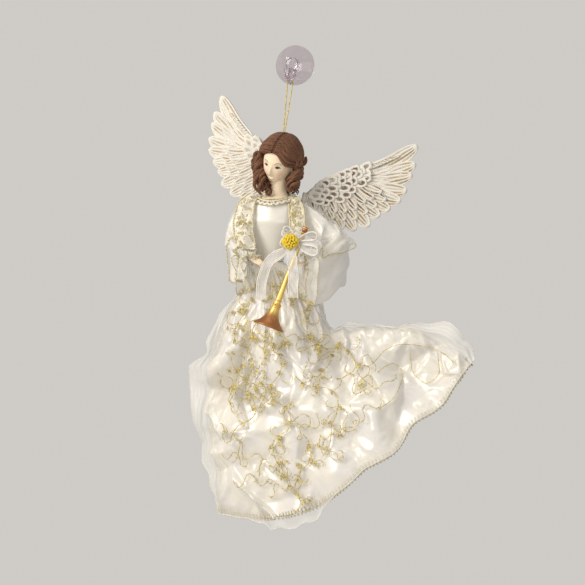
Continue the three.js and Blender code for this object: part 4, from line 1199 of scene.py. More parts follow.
@dataclass
class Hair:
    """Moulded hair: a parted cap carved in strands, and ringlets to the shoulders."""

    head: Head = field(default_factory=Head)
    thickness: float = 4.5
    front_angle: float = 27.0
    back_angle: float = 222.0
    strands: int = 46
    locks: int = 30
    lock_radius: float = 1.75
    wave: float = 3.0
    left_end: Point = (-16.5, 7.0, -56.0)
    right_end: Point = (8.0, 0.0, -54.0)
    nape: int = 16
    curls: Rows = (
        (-26, 5, -22, 4.4, 1.5), (-28, 4, -32.5, 4.6, -1.4), (-24, 7, -43, 4.6, 1.5),
        (-17, 11, -53, 4.2, -1.4),
        (-22, 9, -35, 3.6, 1.3), (-30, 0, -27, 3.4, -1.3), (18, 1, -27, 4.6, -1.5), (16, 2, -37, 4.4, 1.4),
        (11, 3, -46, 4.2, -1.5), (9, 6, -55, 4.0, 1.4), (-12, 12, -58, 3.2, 1.3))
    seed: int = 7

    def cap_side(self, parts: Bundle, side: int) -> None:
        """One side of the cap, from the parting down to the ear.

        Args:
            parts: The hair's parts.
            side: Which side.
        """
        rows, columns = 150, 64
        b = shares(rows)[:, None]
        a = shares(columns)[None, :]
        low = (30 if side > 0 else 8) * smooth(a, 0.05, 0.7)
        phi = np.radians(mix(self.front_angle - low, self.back_angle, b))
        tilt = a * math.radians(87)
        strand = b - 0.16 * a**1.5 * (1 - b) + 0.011 * a * np.sin(11 * a + 17 * b + side)
        phase = 2 * math.pi * self.strands * strand
        ripple = 0.6 * np.cos(phase) + 0.4 * np.cos(0.37 * phase + 5 * a) + 0.3 * np.cos(2.3 * phase + 3 * a)
        lip = smooth(b, 0, 0.03) * smooth(1 - b, 0, 0.02) * smooth(1 - a, 0, 0.05)
        roll = 1.7 * np.exp(-(((a - 0.62) / 0.22) ** 2) - (((b - 0.1) / 0.12) ** 2))
        full = self.thickness * (0.66 + 0.5 * smooth(a, 0, 0.5)) + roll - 0.75 * np.exp(-((a / 0.035) ** 2))
        grow = full * (0.1 + 0.9 * lip) + 0.6 * ripple * lip * smooth(a, 0.01, 0.08)
        half = self.head.half
        up = np.sin(phi) * np.cos(tilt)
        front = np.cos(phi) * np.cos(tilt)
        across = side * np.sin(tilt) * np.ones_like(phi)
        p = np.stack([across * (half[0] + grow), front * (half[1] + grow) - 1, up * (half[2] + grow)], -1)
        under = np.stack([across * (half[0] + 0.5), front * (half[1] + 0.5) - 1, up * (half[2] + 0.5)], -1)
        # Painted shade in the troughs of the carved strands, and a painted highlight on their crests that
        # grows stronger towards the crown, where the light falls
        groove = np.clip(0.5 - 0.55 * ripple, 0, 1) * smooth(a, 0, 0.05)
        ridge = np.clip(0.2 + 0.6 * ripple, 0, 1) * (0.4 + 0.6 * smooth(up, 0, 1))
        parts.shell(self.head.place(p), self.head.place(under), groove=groove, ridge=ridge)

    def lock(self, parts: Bundle, side: int, phi: float, rng: np.random.Generator,
             behind: bool = False) -> None:
        """A carved lock: over the head from the parting, then down in waves.

        Args:
            parts: The hair's parts.
            side: Which side of the parting.
            phi: Where it leaves the parting, as an angle from the front.
            rng: Its small differences.
            behind: Whether it falls down the nape.
        """
        half = self.head.half
        tilt = np.radians(np.linspace(4, rng.uniform(14, 62) if behind else rng.uniform(64, 76), 9))
        grow = self.thickness * (0.7 + 0.42 * np.sin(tilt)) + rng.uniform(-0.9, 0.6)
        p = np.stack([side * np.sin(tilt) * (half[0] + grow),
                      np.cos(phi) * np.cos(tilt) * (half[1] + grow) - 1,
                      np.sin(phi) * np.cos(tilt) * (half[2] + grow)], -1)
        head = self.head.on_figure(p)
        back = smooth(phi, 1.2, 3.2)
        end = np.array(self.left_end if side < 0 else self.right_end)
        end = end + [rng.uniform(-4, 3) - side * 5 * back, mix(7, -13, back) + rng.uniform(-3, 3),
                     rng.uniform(-5, 7)]
        if behind:
            end = np.array([side * rng.uniform(0, 15) - 6, rng.uniform(-19, -14), rng.uniform(-60, -52)])
        t = np.linspace(0.12, 1, 12)[:, None]
        turn = 2 * math.pi * (rng.uniform(1.7, 2.4) * t + rng.uniform())
        wave = self.wave * smooth(t, 0, 0.5) * np.hstack([np.cos(turn), np.sin(turn), 0.4 * np.sin(turn)])
        hang = mix(head[-1], end, t) + [side * 1.0, 0, 0] * (5 * np.sin(math.pi * t) * (1 - back)) + wave
        path = Spline(np.vstack([head, hang])).at(shares(80))
        share = shares(80)[:, None]
        around = circle(16)
        lobes = np.cos(6 * around + 9 * share) * 0.6 + np.cos(10 * around - 5 * share) * 0.4
        swell = self.lock_radius * (0.5 + 0.5 * smooth(share, 0, 0.3)) * (1 - 0.7 * smooth(share, 0.84, 1))
        self.carve(parts, path, swell * (1 + 0.13 * lobes), lobes, 0.5)

    def carve(self, parts: Bundle, path: Array, radius: Array, lobes: Array, deep: float) -> None:
        """A strand along a path with carved lines round it.

        Args:
            parts: The hair's parts.
            path: Points of its middle.
            radius: Its radius at each point, all round.
            lobes: Height of the carved lines there.
            deep: How dark the painted shade in the lines is.
        """
        around = circle(lobes.shape[1])[:, None]
        u, w = (vectors[:, None] for vectors in frames(path))
        rings = path[:, None] + radius[..., None] * (np.cos(around) * u + np.sin(around) * w)
        # Painted shade in the carved lines and a painted highlight on the raised lobes between them
        parts.loft(figure(rings), groove=np.clip(deep - 0.6 * lobes, 0, 1),
                   ridge=np.clip(0.1 + 0.7 * lobes, 0, 1))

    def curl(self, parts: Bundle, x: float, front: float, up: float, size: float, turns: float) -> None:
        """A rolled curl that winds in to its middle and stands a little forward.

        Args:
            parts: The hair's parts.
            x: Its middle, across.
            front: Its middle, forward.
            up: Its middle, up.
            size: Its radius.
            turns: How often it winds, and which way.
        """
        t = shares(60)
        angle = 2 * math.pi * turns * t + 3 * up
        r = size * (1 - 0.8 * t)
        path = np.stack([x + r * np.cos(angle), front + 5 * t - 2, up + r * np.sin(angle) * 1.15], -1)
        share = t[:, None]
        lobes = np.cos(5 * circle(14) + 7 * share)
        width = 0.42 * size * (0.5 + 0.5 * smooth(share, 0, 0.2)) * (1 - 0.6 * smooth(share, 0.7, 1))
        self.carve(parts, path, width * (1 + 0.14 * lobes), lobes, 0.55)

    def build(self) -> None:
        """Both halves of the cap, the locks combed from the parting and the rolled curls."""
        parts = Bundle(lambda p: p)
        rng = np.random.default_rng(self.seed)
        for x, front, up, size, turns in self.curls:
            self.curl(parts, x, front, up, size, turns)
        for side in (-1, 1):
            self.cap_side(parts, side)
            for phi in np.radians(np.linspace(self.front_angle + 3, self.back_angle - 30, self.locks)):
                self.lock(parts, side, phi, rng)
            for phi in np.radians(np.linspace(135, self.back_angle - 4, self.nape)):
                self.lock(parts, side, phi, rng, True)
        dress(parts.build("carved_hair", HAIR), Body.ANGEL, "painted_hair", "hair")


# Body and sleeves


@dataclass
class Torso:
    """The stuffed body under a close satin bodice."""

    rows: Rows = (
        (-66, -8.6, 0.3, 0.2), (-70, -8.8, 0.9, 0.75), (-78, -10, 1, 1), (-92, -11.5, 0.9, 1.06),
        (-108, -13.2, 0.4, 0.4), (-125, -14.9, 0, 0), (-138, -15.2, 0.12, 0.12), (-148, -15.2, 0.16, 0.16))
    chest: Pair = (25.0, 16.0)
    waist: Pair = (11.5, 10.0)
    front: float = -2.0

    def rings(self, high: float, low: float, grow: float, count: int, sides: int) -> Array:
        """Rings of the body's surface between two levels.

        Args:
            high: The upper level.
            low: The lower level.
            grow: How far outside the body.
            count: Number of rings.
            sides: Points of each.
        Returns:
            The rings, in figure millimetres.
        """
        curve = Spline(self.rows).points[::-1]
        level = np.linspace(high, low, count)
        x, wide, deep = (np.interp(level, curve[:, 0], curve[:, k])[:, None] for k in (1, 2, 3))
        turn = circle(sides)
        rx = mix(self.waist[0], self.chest[0], wide) + grow
        ry = mix(self.waist[1], self.chest[1], deep) + grow
        return np.stack([x + rx * np.cos(turn), self.front + ry * np.sin(turn), level[:, None] + 0 * turn],
                        -1)

    def build(self) -> None:
        """The stuffed core and the bodice over it."""
        core = Bundle()
        core.loft(self.rings(-66, -148, 0, 40, 56))
        core_piece = dress(core.build("stuffed_body", BODY_CLOTH), Body.ANGEL, "body_core", "torso_core")
        rings = self.rings(-70.5, -125.5, 1.0, 90, 120)
        turn = np.linspace(0, 2 * math.pi, 121)[None, :-1]
        down = shares(90)[:, None]
        puckers = 0.5 * np.exp(-((down - 0.97) / 0.14) ** 2) * np.sin(30 * turn + 2 * np.sin(3 * turn))
        drape = 0.7 * np.sin(2 * turn + 7 * down) * smooth(down, 0.3, 0.7) + 1.5 * np.exp(
            -(((down - 0.3 - 0.04 * np.cos(turn)) / 0.09) ** 2))
        out = np.stack([np.cos(turn) + 0 * down, np.sin(turn) + 0 * down, 0 * turn + 0 * down], -1)
        bodice = Bundle()
        bodice.sheet(rings + out * (puckers + drape + 0.4)[..., None], closed=True)
        piece = dress(bodice.build("satin_bodice", SATIN, closed=False), Body.ANGEL, "satin", "bodice")


@dataclass
class Collar:
    """A scalloped cream and gold neckline."""

    head: Head = field(default_factory=Head)
    scallops: int = 22
    dip: float = 6.0

    def ring(self, turn: Array, out: float, up: float) -> Array:
        """Points round the neckline.

        Args:
            turn: Angles round it.
            out: Millimetres outside the shoulder plate.
            up: Millimetres above it.
        Returns:
            The points.
        """
        bx, bf, bz = self.head.neck_base
        front = np.maximum(0, np.sin(turn))
        wide, deep = self.head.bust[0] + 2.7 + out, self.head.bust[1] + 2.7 + out
        return np.stack([bx + wide * np.cos(turn), bf + (deep + 2.6 * front) * np.sin(turn),
                         bz + 2.8 + up - self.dip * front**2], -1)

    def build(self) -> None:
        """A lace band with bead scallops below and a gold cord above."""
        lace, gold = Bundle(), Bundle()
        turn = circle(360)
        lace.tube(self.ring(turn, -0.6, 0.8), 1.0, 8)
        scallop = np.abs(np.sin(self.scallops * turn / 2))
        for out, up, size in ((0.9, -0.6, 0.55), (1.6, -1.4, 0.5)):
            lace.tube(self.ring(turn, out + 0.8 * scallop, up - 1.6 * scallop), size, 6)
        gold.tube(self.ring(turn, 0.2, 1.9 + 0.25 * np.sin(60 * turn)), 0.34, 6)
        gold.tube(self.ring(turn, 2.4 + 1.1 * scallop, -1.9 - 2.0 * scallop), 0.3, 6)
        for k in range(self.scallops * 2):
            angle = np.array([math.pi * (k + 0.5) / self.scallops])
            parts = gold if k % 2 else lace
            parts.ball(self.ring(angle, 1.2, -0.4 if k % 2 else -1.9)[0], 0.95 if k % 2 else 1.4)
        dress(lace.build("collar_lace", WHITE_THREAD), Body.ANGEL, "lace", "collar_trim")
        dress(gold.build("collar_gold", GOLD_THREAD), Body.ANGEL, "gold_thread")


@dataclass
class Sleeve:
    """A wide satin sleeve, a sheer cape over it and gold trim at its mouth."""

    side: Side
    rows: Rows
    cape_end: float
    flat: Pair
    cape_flat: Pair
    flounces: Rows = ()
    layers: Rows = ((24.0, 5.0), (12.0, 2.2))
    seed: int = 3

    def rings(self, count: int, sides: int, grow: float = 0.0, start: float = 0.0, end: float = 1.0) -> Array:
        """Rings of the sleeve from the shoulder to its mouth.

        Args:
            count: Number of rings.
            sides: Points of each.
            grow: How far outside the satin.
            start: Share of its length at the first ring.
            end: Share at the last.
        Returns:
            The rings, in figure millimetres.
        """
        curve = Spline(self.rows)
        share = np.linspace(start, end, count)
        row = curve.at(share)
        way = unit(curve.way(share)[:, :2])
        across = np.stack([way[:, 1], -way[:, 0], 0 * share], -1)
        turn = circle(sides)
        hang = np.where(np.sin(turn) > 0, row[:, 4:5], row[:, 5:6])
        s = share[:, None]
        fold = (0.075 * s * np.cos(5 * turn + 6 * s) + 0.045 * np.cos(3 * turn - 8 * s + self.seed)
                + 0.035 * smooth(s, 0.25, 0.7) * np.cos(11 * turn + 3 * np.sin(4 * s + self.seed)))
        puff = 1 + fold * smooth(s, 0.02, 0.3) + grow / 14 + self.creases(share, turn) / 18
        flat = row[:, None, :3] + (row[:, 3:4] * np.cos(turn) * puff)[..., None] * across[:, None]
        return flat + np.stack([0 * hang, 0 * hang, hang * np.sin(turn) * puff], -1)

    def creases(self, share: Array, turn: Array) -> Array:
        """How far the cloth's crisp creases stand out of its rings.

        Args:
            share: The rings' shares of the sleeve's length.
            turn: The angles round them.
        Returns:
            Millimetres outwards, none along the seam underneath and few inside the bend.
        """
        whole = shares(70)
        seam = (turn + math.pi / 2) % (2 * math.pi)
        across, down = np.meshgrid(seam * 22, whole * 80)
        rng = np.random.default_rng(self.seed)
        crumple = Crumple()
        height = sum(rise * (0.6 - np.abs(crumple.facets(across, down, size, rng)))
                     for size, rise in self.layers)
        bend = smooth(-self.side.value * np.cos(turn), 0, 0.6)
        height = height * smooth(math.pi - np.abs(seam - math.pi), 0, 0.6)
        height = height * smooth(down, 6, 24) * (1 - 0.9 * bend)
        return np.stack([np.interp(share, whole, column) for column in height.T], -1)

    def build(self) -> None:
        """The satin tube, the cape, their edges and the beads."""
        name = self.side.name.lower()
        satin = Bundle()
        grid = self.rings(80, 120)
        satin.sheet(grid, closed=True)
        piece = dress(satin.build(f"sleeve_satin_{name}", SATIN, closed=False), Body.ANGEL, "satin",
                      f"sleeve_{name}")
        cape, gold, cream = Bundle(), Bundle(), Bundle()
        self.add_cape(cape, gold)
        mouth = np.vstack([grid[-1], grid[-1][:1]])
        ahead = unit(np.array(self.rows[-1][:3]) - self.rows[-2][:3])
        lace = Bundle()
        self.add_cuff(lace, mouth, ahead * 8)
        for inset, flare, drop, reach in self.flounces:
            ring = mix(mouth, np.array(self.rows[-1][:3]), inset) + ahead * reach * 0.4
            self.add_flounce(cape, gold, ring, flare, drop, ahead * reach)
        cream.tube(mouth, 0.55, 6)
        middle = mouth.mean(0)
        for share in shares(56):
            place = mouth[int(share * 120)]
            cream.tube(np.array([place + unit(place - middle) * 0.2, place + unit(middle - place) * 1.8]),
                       0.4, 5)
            if place[0] < middle[0]:
                gold.ball(place + np.array([-0.6, 0.8, 0]), 1.05)
        sheer = dress(cape.build(f"sleeve_cape_{name}", SHEER, closed=False), Body.ANGEL, "organza")
        cuff = dress(lace.build(f"lace_cuff_{name}", CUFF_LACE, closed=False), Body.ANGEL, "lace")
        dress(gold.build(f"sleeve_trim_{name}", GOLD_THREAD), Body.ANGEL, "gold_thread")
        dress(cream.build(f"sleeve_hem_{name}", CREAM_THREAD), Body.ANGEL, "lace")

    def add_cuff(self, lace: Bundle, mouth: Array, ahead: Array) -> None:
        """Gathered lace that fills the sleeve's mouth round the wrist.

        Args:
            lace: Where it goes.
            mouth: Points round the mouth, the last one the first again.
            ahead: How far and which way it swells out.
        """
        s = np.linspace(0, 0.9, 30)[:, None]
        turn = np.linspace(0, 2 * math.pi, len(mouth))[None, :]
        swell = np.sin(2.6 * s) + 0.3 * smooth(s, 0, 0.2) * np.sin(13 * turn + 3 * np.sin(5 * s + self.seed))
        inward = mix(mouth[None], np.array(self.rows[-1][:3]), s[..., None])
        grid = inward + ahead * (swell + 0 * turn)[..., None]
        lace.sheet(grid)

    def add_flounce(self, cloth: Bundle, gold: Bundle, mouth: Array, flare: float, drop: float,
                    ahead: Array) -> None:
        """A ruffle that stands out from the sleeve's mouth.

        Args:
            cloth: Where the cloth goes.
            gold: Where its trim goes.
            mouth: Points round the mouth, the last one the first again.
            flare: How far it stands out.
            drop: How far it falls.
            ahead: How far and which way it stands forward.
        """
        s = shares(14)[:, None]
        turn = np.linspace(0, 2 * math.pi, len(mouth))[None, :]
        out = unit(mouth - mouth.mean(0))
        wave = flare * s * (0.75 + 0.45 * np.sin(9 * turn + self.seed) + 0.2 * np.sin(14 * turn))
        grid = mouth[None] + out[None] * wave[..., None] + ahead * s[..., None]
        grid[..., 1] += drop * 0.35 * s * (1 + 0.6 * np.cos(9 * turn + self.seed))
        grid[..., 2] -= drop * s * (0.8 + 0.3 * np.cos(7 * turn))
        cloth.sheet(grid, free=1.0)
        gold.tube(grid[-1], 0.34, 6)
        for k in range(0, len(mouth), 3):
            gold.ball(grid[-1, k], 0.55)

    def add_cape(self, cape: Bundle, gold: Bundle) -> None:
        """The sheer layer over the top of the sleeve, ruffled along its lower edge.

        Args:
            cape: Where the cloth goes.
            gold: Where its trim goes.
        """
        rows, columns = 56, 90
        rings = self.rings(rows, 120, 1.6, 0.06, self.cape_end)
        s = shares(rows)[:, None]
        c = shares(columns)
        open_below = smooth(s, 0.3, 0.65) * (self.side is Side.RIGHT)
        turn = mix(mix(-0.32, 0.0, open_below), mix(0.82, 0.55, open_below), c) * 120
        first = np.floor(turn).astype(int)
        part, row = (turn - first)[..., None], np.arange(rows)[:, None]
        grid = rings[row, first % 120] * (1 - part) + rings[row, (first + 1) % 120] * part
        edge = np.maximum(smooth(s, 0.6, 1), smooth(1 - c, 0.75, 1) * open_below)
        wave = 2.6 * edge * np.sin(26 * c + 4 * s + 22 * s * open_below + self.seed)
        out = unit(grid - rings.mean(1)[:, None]) * (0.35 if self.side is Side.LEFT else 1.0)
        grid = grid + out * (wave + 1.2 + 2.4 * edge)[..., None]
        cape.sheet(grid, free=0.35 + 0.65 * edge)
        for line in (grid[-1], grid[:, 0]):
            gold.tube(line, 0.36, 6)
            for k in range(0, len(line), 2):
                gold.ball(line[k], 0.55)


@dataclass
class Arm:
    """A stuffed arm inside its sleeve, ending in a moulded hand."""

    side: Side
    path: Rows

    def build(self, hand: bpy.types.Object) -> None:
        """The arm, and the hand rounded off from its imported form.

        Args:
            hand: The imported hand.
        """
        name = self.side.name.lower()
        curve = Spline(self.path)
        parts = Bundle()
        t = shares(40)
        parts.tube(curve.at(t), mix(4.6, 2.8, t), 20)
        arm = dress(parts.build(f"stuffed_arm_{name}", BODY_CLOTH), Body.ANGEL, "body_core", f"arm_{name}")
        mesh = hand.data.copy()
        mesh.transform(hand.matrix_world)
        mesh.materials.clear()
        mesh.materials.append(SKIN.material())
        copy = bpy.data.objects.new(f"moulded_hand_{name}", mesh)
        bpy.context.scene.collection.objects.link(copy)
        mesh.polygons.foreach_set("use_smooth", np.ones(len(mesh.polygons), bool))
        rounding = copy.modifiers.new("rounding", "REMESH")
        rounding.mode = "VOXEL"
        rounding.voxel_size = 0.35 * MM
        rounding.use_smooth_shade = True
        calm = copy.modifiers.new("calm", "SMOOTH")
        calm.factor = 0.5
        calm.iterations = 6
        dress(copy, Body.ANGEL, "painted_skin", f"hand_{name}")


@dataclass
class Stole:
    """A lace band over the shoulder, flecked with gold."""

    side: Side
    path: Rows
    width: float
    seed: int

    def build(self) -> None:
        """The net, its scalloped edges and the flecks worked on it."""
        name = self.side.name.lower()
        curve = Spline(self.path)
        rows, columns = 70, 24
        t = shares(rows)
        centre = curve.at(t)
        across = np.linspace(-0.5, 0.5, columns) * self.width
        taper = (0.8 + 0.25 * smooth(t, 0, 0.5))[:, None]
        edge = 1 + 0.05 * np.abs(np.sin(14 * math.pi * t))[:, None]
        x = across * taper * edge
        down = t[:, None]
        front = 0.9 * np.sin(9 * down + 0.45 * across) - 0.03 * x * x + 0.7 * np.sin(23 * down - 0.3 * across)
        grid = centre[:, None] + np.stack([x, front, -0.05 * np.abs(x)], -1)
        net, gold, lace = Bundle(), Bundle(), Bundle()
        net.sheet(grid)
        for column in (0, -1):
            lace.tube(grid[:, column], 0.6, 6)
            for k in range(0, rows, 2):
                lace.ball(grid[k, column] + np.array([0.5 if column else -0.5, 0.3, 0]), 0.95)
        rng = np.random.default_rng(self.seed)
        for k in range(84):
            i, j = rng.integers(3, rows - 3), rng.integers(2, columns - 2)
            middle = grid[i, j] + np.array([0, 0.5, 0])
            if k % 3:
                angle = rng.uniform(0, math.pi)
                reach = np.array([math.cos(angle), 0, math.sin(angle)]) * rng.uniform(0.9, 1.9)
                bar = np.array([middle - reach, middle + [0, 0.3, 0], middle + reach])
                (gold if k % 2 else lace).tube(bar, 0.3, 5)
            else:
                ring = np.linspace(0, 2 * math.pi, 13)[:, None]
                size = rng.uniform(1.2, 2.0)
                loop = middle + size * np.hstack([np.cos(ring), 0 * ring, np.sin(ring)])
                (lace if k % 2 else gold).tube(loop, 0.3, 5)
                lace.ball(middle, 0.7)
        sheet = dress(net.build(f"stole_net_{name}", LACE_NET, closed=False), Body.ANGEL, "lace",
                      f"stole_{name}")
        flecks = dress(gold.build(f"stole_gold_{name}", GOLD_THREAD), Body.ANGEL, "gold_thread")
        edges = dress(lace.build(f"stole_lace_{name}", CREAM_THREAD), Body.ANGEL, "lace")


# The gown


def blurred(field_values: Array, passes: int) -> Array:
    """A grid of values softened over its neighbours.

    Args:
        field_values: Rows of values or vectors.
        passes: How often it is softened.
    Returns:
        The softened grid.
    """
    out = np.array(field_values, float)
    for _ in range(passes):
        for axis in (0, 1):
            pad = [(0, 0)] * out.ndim
            pad[axis] = (1, 1)
            wide = np.pad(out, pad, mode="edge")
            low, mid, high = (np.take(wide, np.arange(k, k + out.shape[axis]), axis) for k in (0, 1, 2))
            out = (low + 2 * mid + high) / 4
    return out


def grid_normals(grid: Array) -> Array:
    """Unit normals of a grid of points, turned to the front.

    Args:
        grid: Rows of points.
    Returns:
        One normal for each point.
    """
    across = np.gradient(grid, axis=1)
    down = np.gradient(grid, axis=0)
    n = unit(np.cross(across, down))
    return n * np.where(n[..., 1:2] < 0, -1, 1)


@dataclass
class Crumple:
    """Crisp creases pressed into stiff cloth: flat facets that fan out from the waist, and pinched fans."""

    seed: int = 11
    layers: Rows = ((34.0, 7.0), (17.0, 2.6), (8.0, 0.7))
    waist: Pair = (-15.0, -95.0)
    stretch: float = 0.8
    fans: Rows = (
        (128, -200, 46, -1.9), (-52, -290, 52, -0.5), (18, -250, 50, -2.4), (70, -262, 44, 0.5),
        (-20, -320, 40, -1.2))

    def facets(self, across: Array, down: Array, size: float, rng: np.random.Generator) -> Array:
        """Heights of flat facets with random corners.

        Args:
            across: Places across the cloth.
            down: Places down it.
            size: The facets' size.
            rng: Where the corners come from.
        Returns:
            Heights of about one.
        """
        low = np.array([across.min(), down.min()]) - size
        count = (np.array([across.max(), down.max()]) - low) // size + 3
        rows, columns = int(count[1]), int(count[0])
        j, i = np.meshgrid(np.arange(rows), np.arange(columns), indexing="ij")
        shake = rng.uniform(-0.38, 0.38, (2, rows, columns))
        x = low[0] + size * (i + 0.5 * (j % 2) - 0.5 + shake[0])
        y = low[1] + size * (j + shake[1])
        corners = np.stack([x, y, rng.normal(0, 1, (rows, columns))], -1).reshape(-1, 3)
        triangles = []
        for a, b, c, d in grid_faces(rows, columns):
            triangles += [(a, b, c), (a, c, d)] if rng.uniform() < 0.5 else [(a, b, d), (b, c, d)]
        tree = BVHTree.FromPolygons([Vector(corner) for corner in corners.tolist()], triangles)
        fall = Vector((0.0, 0.0, -1.0))
        hits = [tree.ray_cast(Vector((a, b, 20.0)), fall)[0] for a, b in zip(across.ravel(), down.ravel())]
        return np.array([hit.z if hit else 0.0 for hit in hits]).reshape(across.shape)

    def relief(self, x: Array, z: Array) -> Array:
        """Height of the creases at places across and up the cloth.

        Args:
            x: Places across.
            z: Places up.
        Returns:
            Millimetres out of the cloth's plain form.
        """
        rng = np.random.default_rng(self.seed)
        dx, dz = x - self.waist[0], self.waist[1] - z
        across = np.arctan2(dx, dz) * 235
        down = np.hypot(dx, dz) * self.stretch
        total = sum(height * (0.8 - np.abs(self.facets(across, down, size, rng)))
                    for size, height in self.layers)
        for cx, cz, size, heading in self.fans:
            for angle in heading + np.array([-0.75, -0.2, 0.25, 0.9]) + rng.normal(0, 0.12, 4):
                long = size * rng.uniform(0.6, 1.15)
                along = (x - cx) * math.cos(angle) + (z - cz) * math.sin(angle)
                off = (z - cz) * math.cos(angle) - (x - cx) * math.sin(angle)
                tent = np.maximum(0, 1 - np.abs(off) / (1.2 + 0.26 * np.abs(along)))
                total += tent * smooth(along, -1, 9) * (1 - smooth(along, long * 0.35, long)) * size * 0.05
        return total


@dataclass
class SkirtForm:
    """The skirt's seams and hem, and the plain faces between them."""

    waist: float = -125.3
    length: float = 250.7
    bulge: float = 40.0
    tail_bulge: float = 18.0
    back_bulge: float = 24.0
    waist_bulge: float = 10.9
    left_points: Rows = (
        (-27.3, -2, 0), (-42, -6, 0.1145), (-60, -8, 0.25), (-73, -9, 0.35), (-79, -10, 0.4695),
        (-79, -10, 0.629),
        (-75, -9, 0.7686), (-69, -7, 0.9043), (-67, -6, 0.988))
    right_points: Rows = (
        (-2.5, -2, 0), (14.6, -5, 0.0586), (31.8, -6, 0.1504), (41, -6, 0.23), (50, -5, 0.274),
        (63, -4, 0.28),
        (96, -3, 0.272), (126, -1, 0.27), (153, 2, 0.294), (187, 8, 0.398))
    hem_points: Rows = (
        (-67, -6, 0.988), (-34, -4, 1), (-13, -3, 0.998), (13, -1, 0.98), (38, 0, 0.948), (64.5, 2, 0.8923),
        (91, 3, 0.7966), (119.5, 5, 0.7248), (135, 6, 0.621), (162, 7, 0.5453), (187, 8, 0.398))
    left: Spline = field(init=False)
    right: Spline = field(init=False)
    hem: Spline = field(init=False)

    def __post_init__(self) -> None:
        """Draws the three edges."""
        self.left, self.right, self.hem = (
            Spline([(x, f, self.waist - self.length * share) for x, f, share in points])
            for points in (self.left_points, self.right_points, self.hem_points))

    def middle(self, u: Array, v: Array) -> Array:
        """The plane between the seams, at shares across and down.

        Args:
            u: Shares across.
            v: Shares down.
        Returns:
            Points in figure millimetres.
        """
        u1, v1 = u[..., None], v[..., None]
        top = mix(self.left.at(0.0), self.right.at(0.0), u1)
        ends = mix(top, self.hem.at(u), v1)
        straight = mix(top, mix(self.left.at(1.0), self.right.at(1.0), u1), v1)
        return mix(self.left.at(v), self.right.at(v), u1) + ends - straight

    def face(self, turn: Array, v: Array, back: bool = False) -> Array:
        """One face of the skirt.

        Args:
            turn: From the left seam at 0 to the right seam at 1.
            v: From the waist at 0 to the hem at 1.
            back: Whether it is the face towards the wall.
        Returns:
            Points in figure millimetres.
        """
        a = math.pi * turn
        u = (1 - np.cos(a)) / 2
        depth = self.back_bulge if back else mix(self.bulge, self.tail_bulge, smooth(u, 0.45, 1))
        bulge = mix(self.waist_bulge, depth, v**0.8) * np.sin(a)
        size = (2.0 if back else 3.2) * np.minimum(1.2 * v, 1) * np.sin(a)
        fold = size * np.sin(12 * math.pi * u + (1 if back else 3 * v)) * smooth(v, 0.05, 0.5)
        out = np.zeros((*np.shape(bulge), 3))
        out[..., 1] = (bulge + fold + 0.4) * (-1 if back else 1)
        return self.middle(u, v) + out


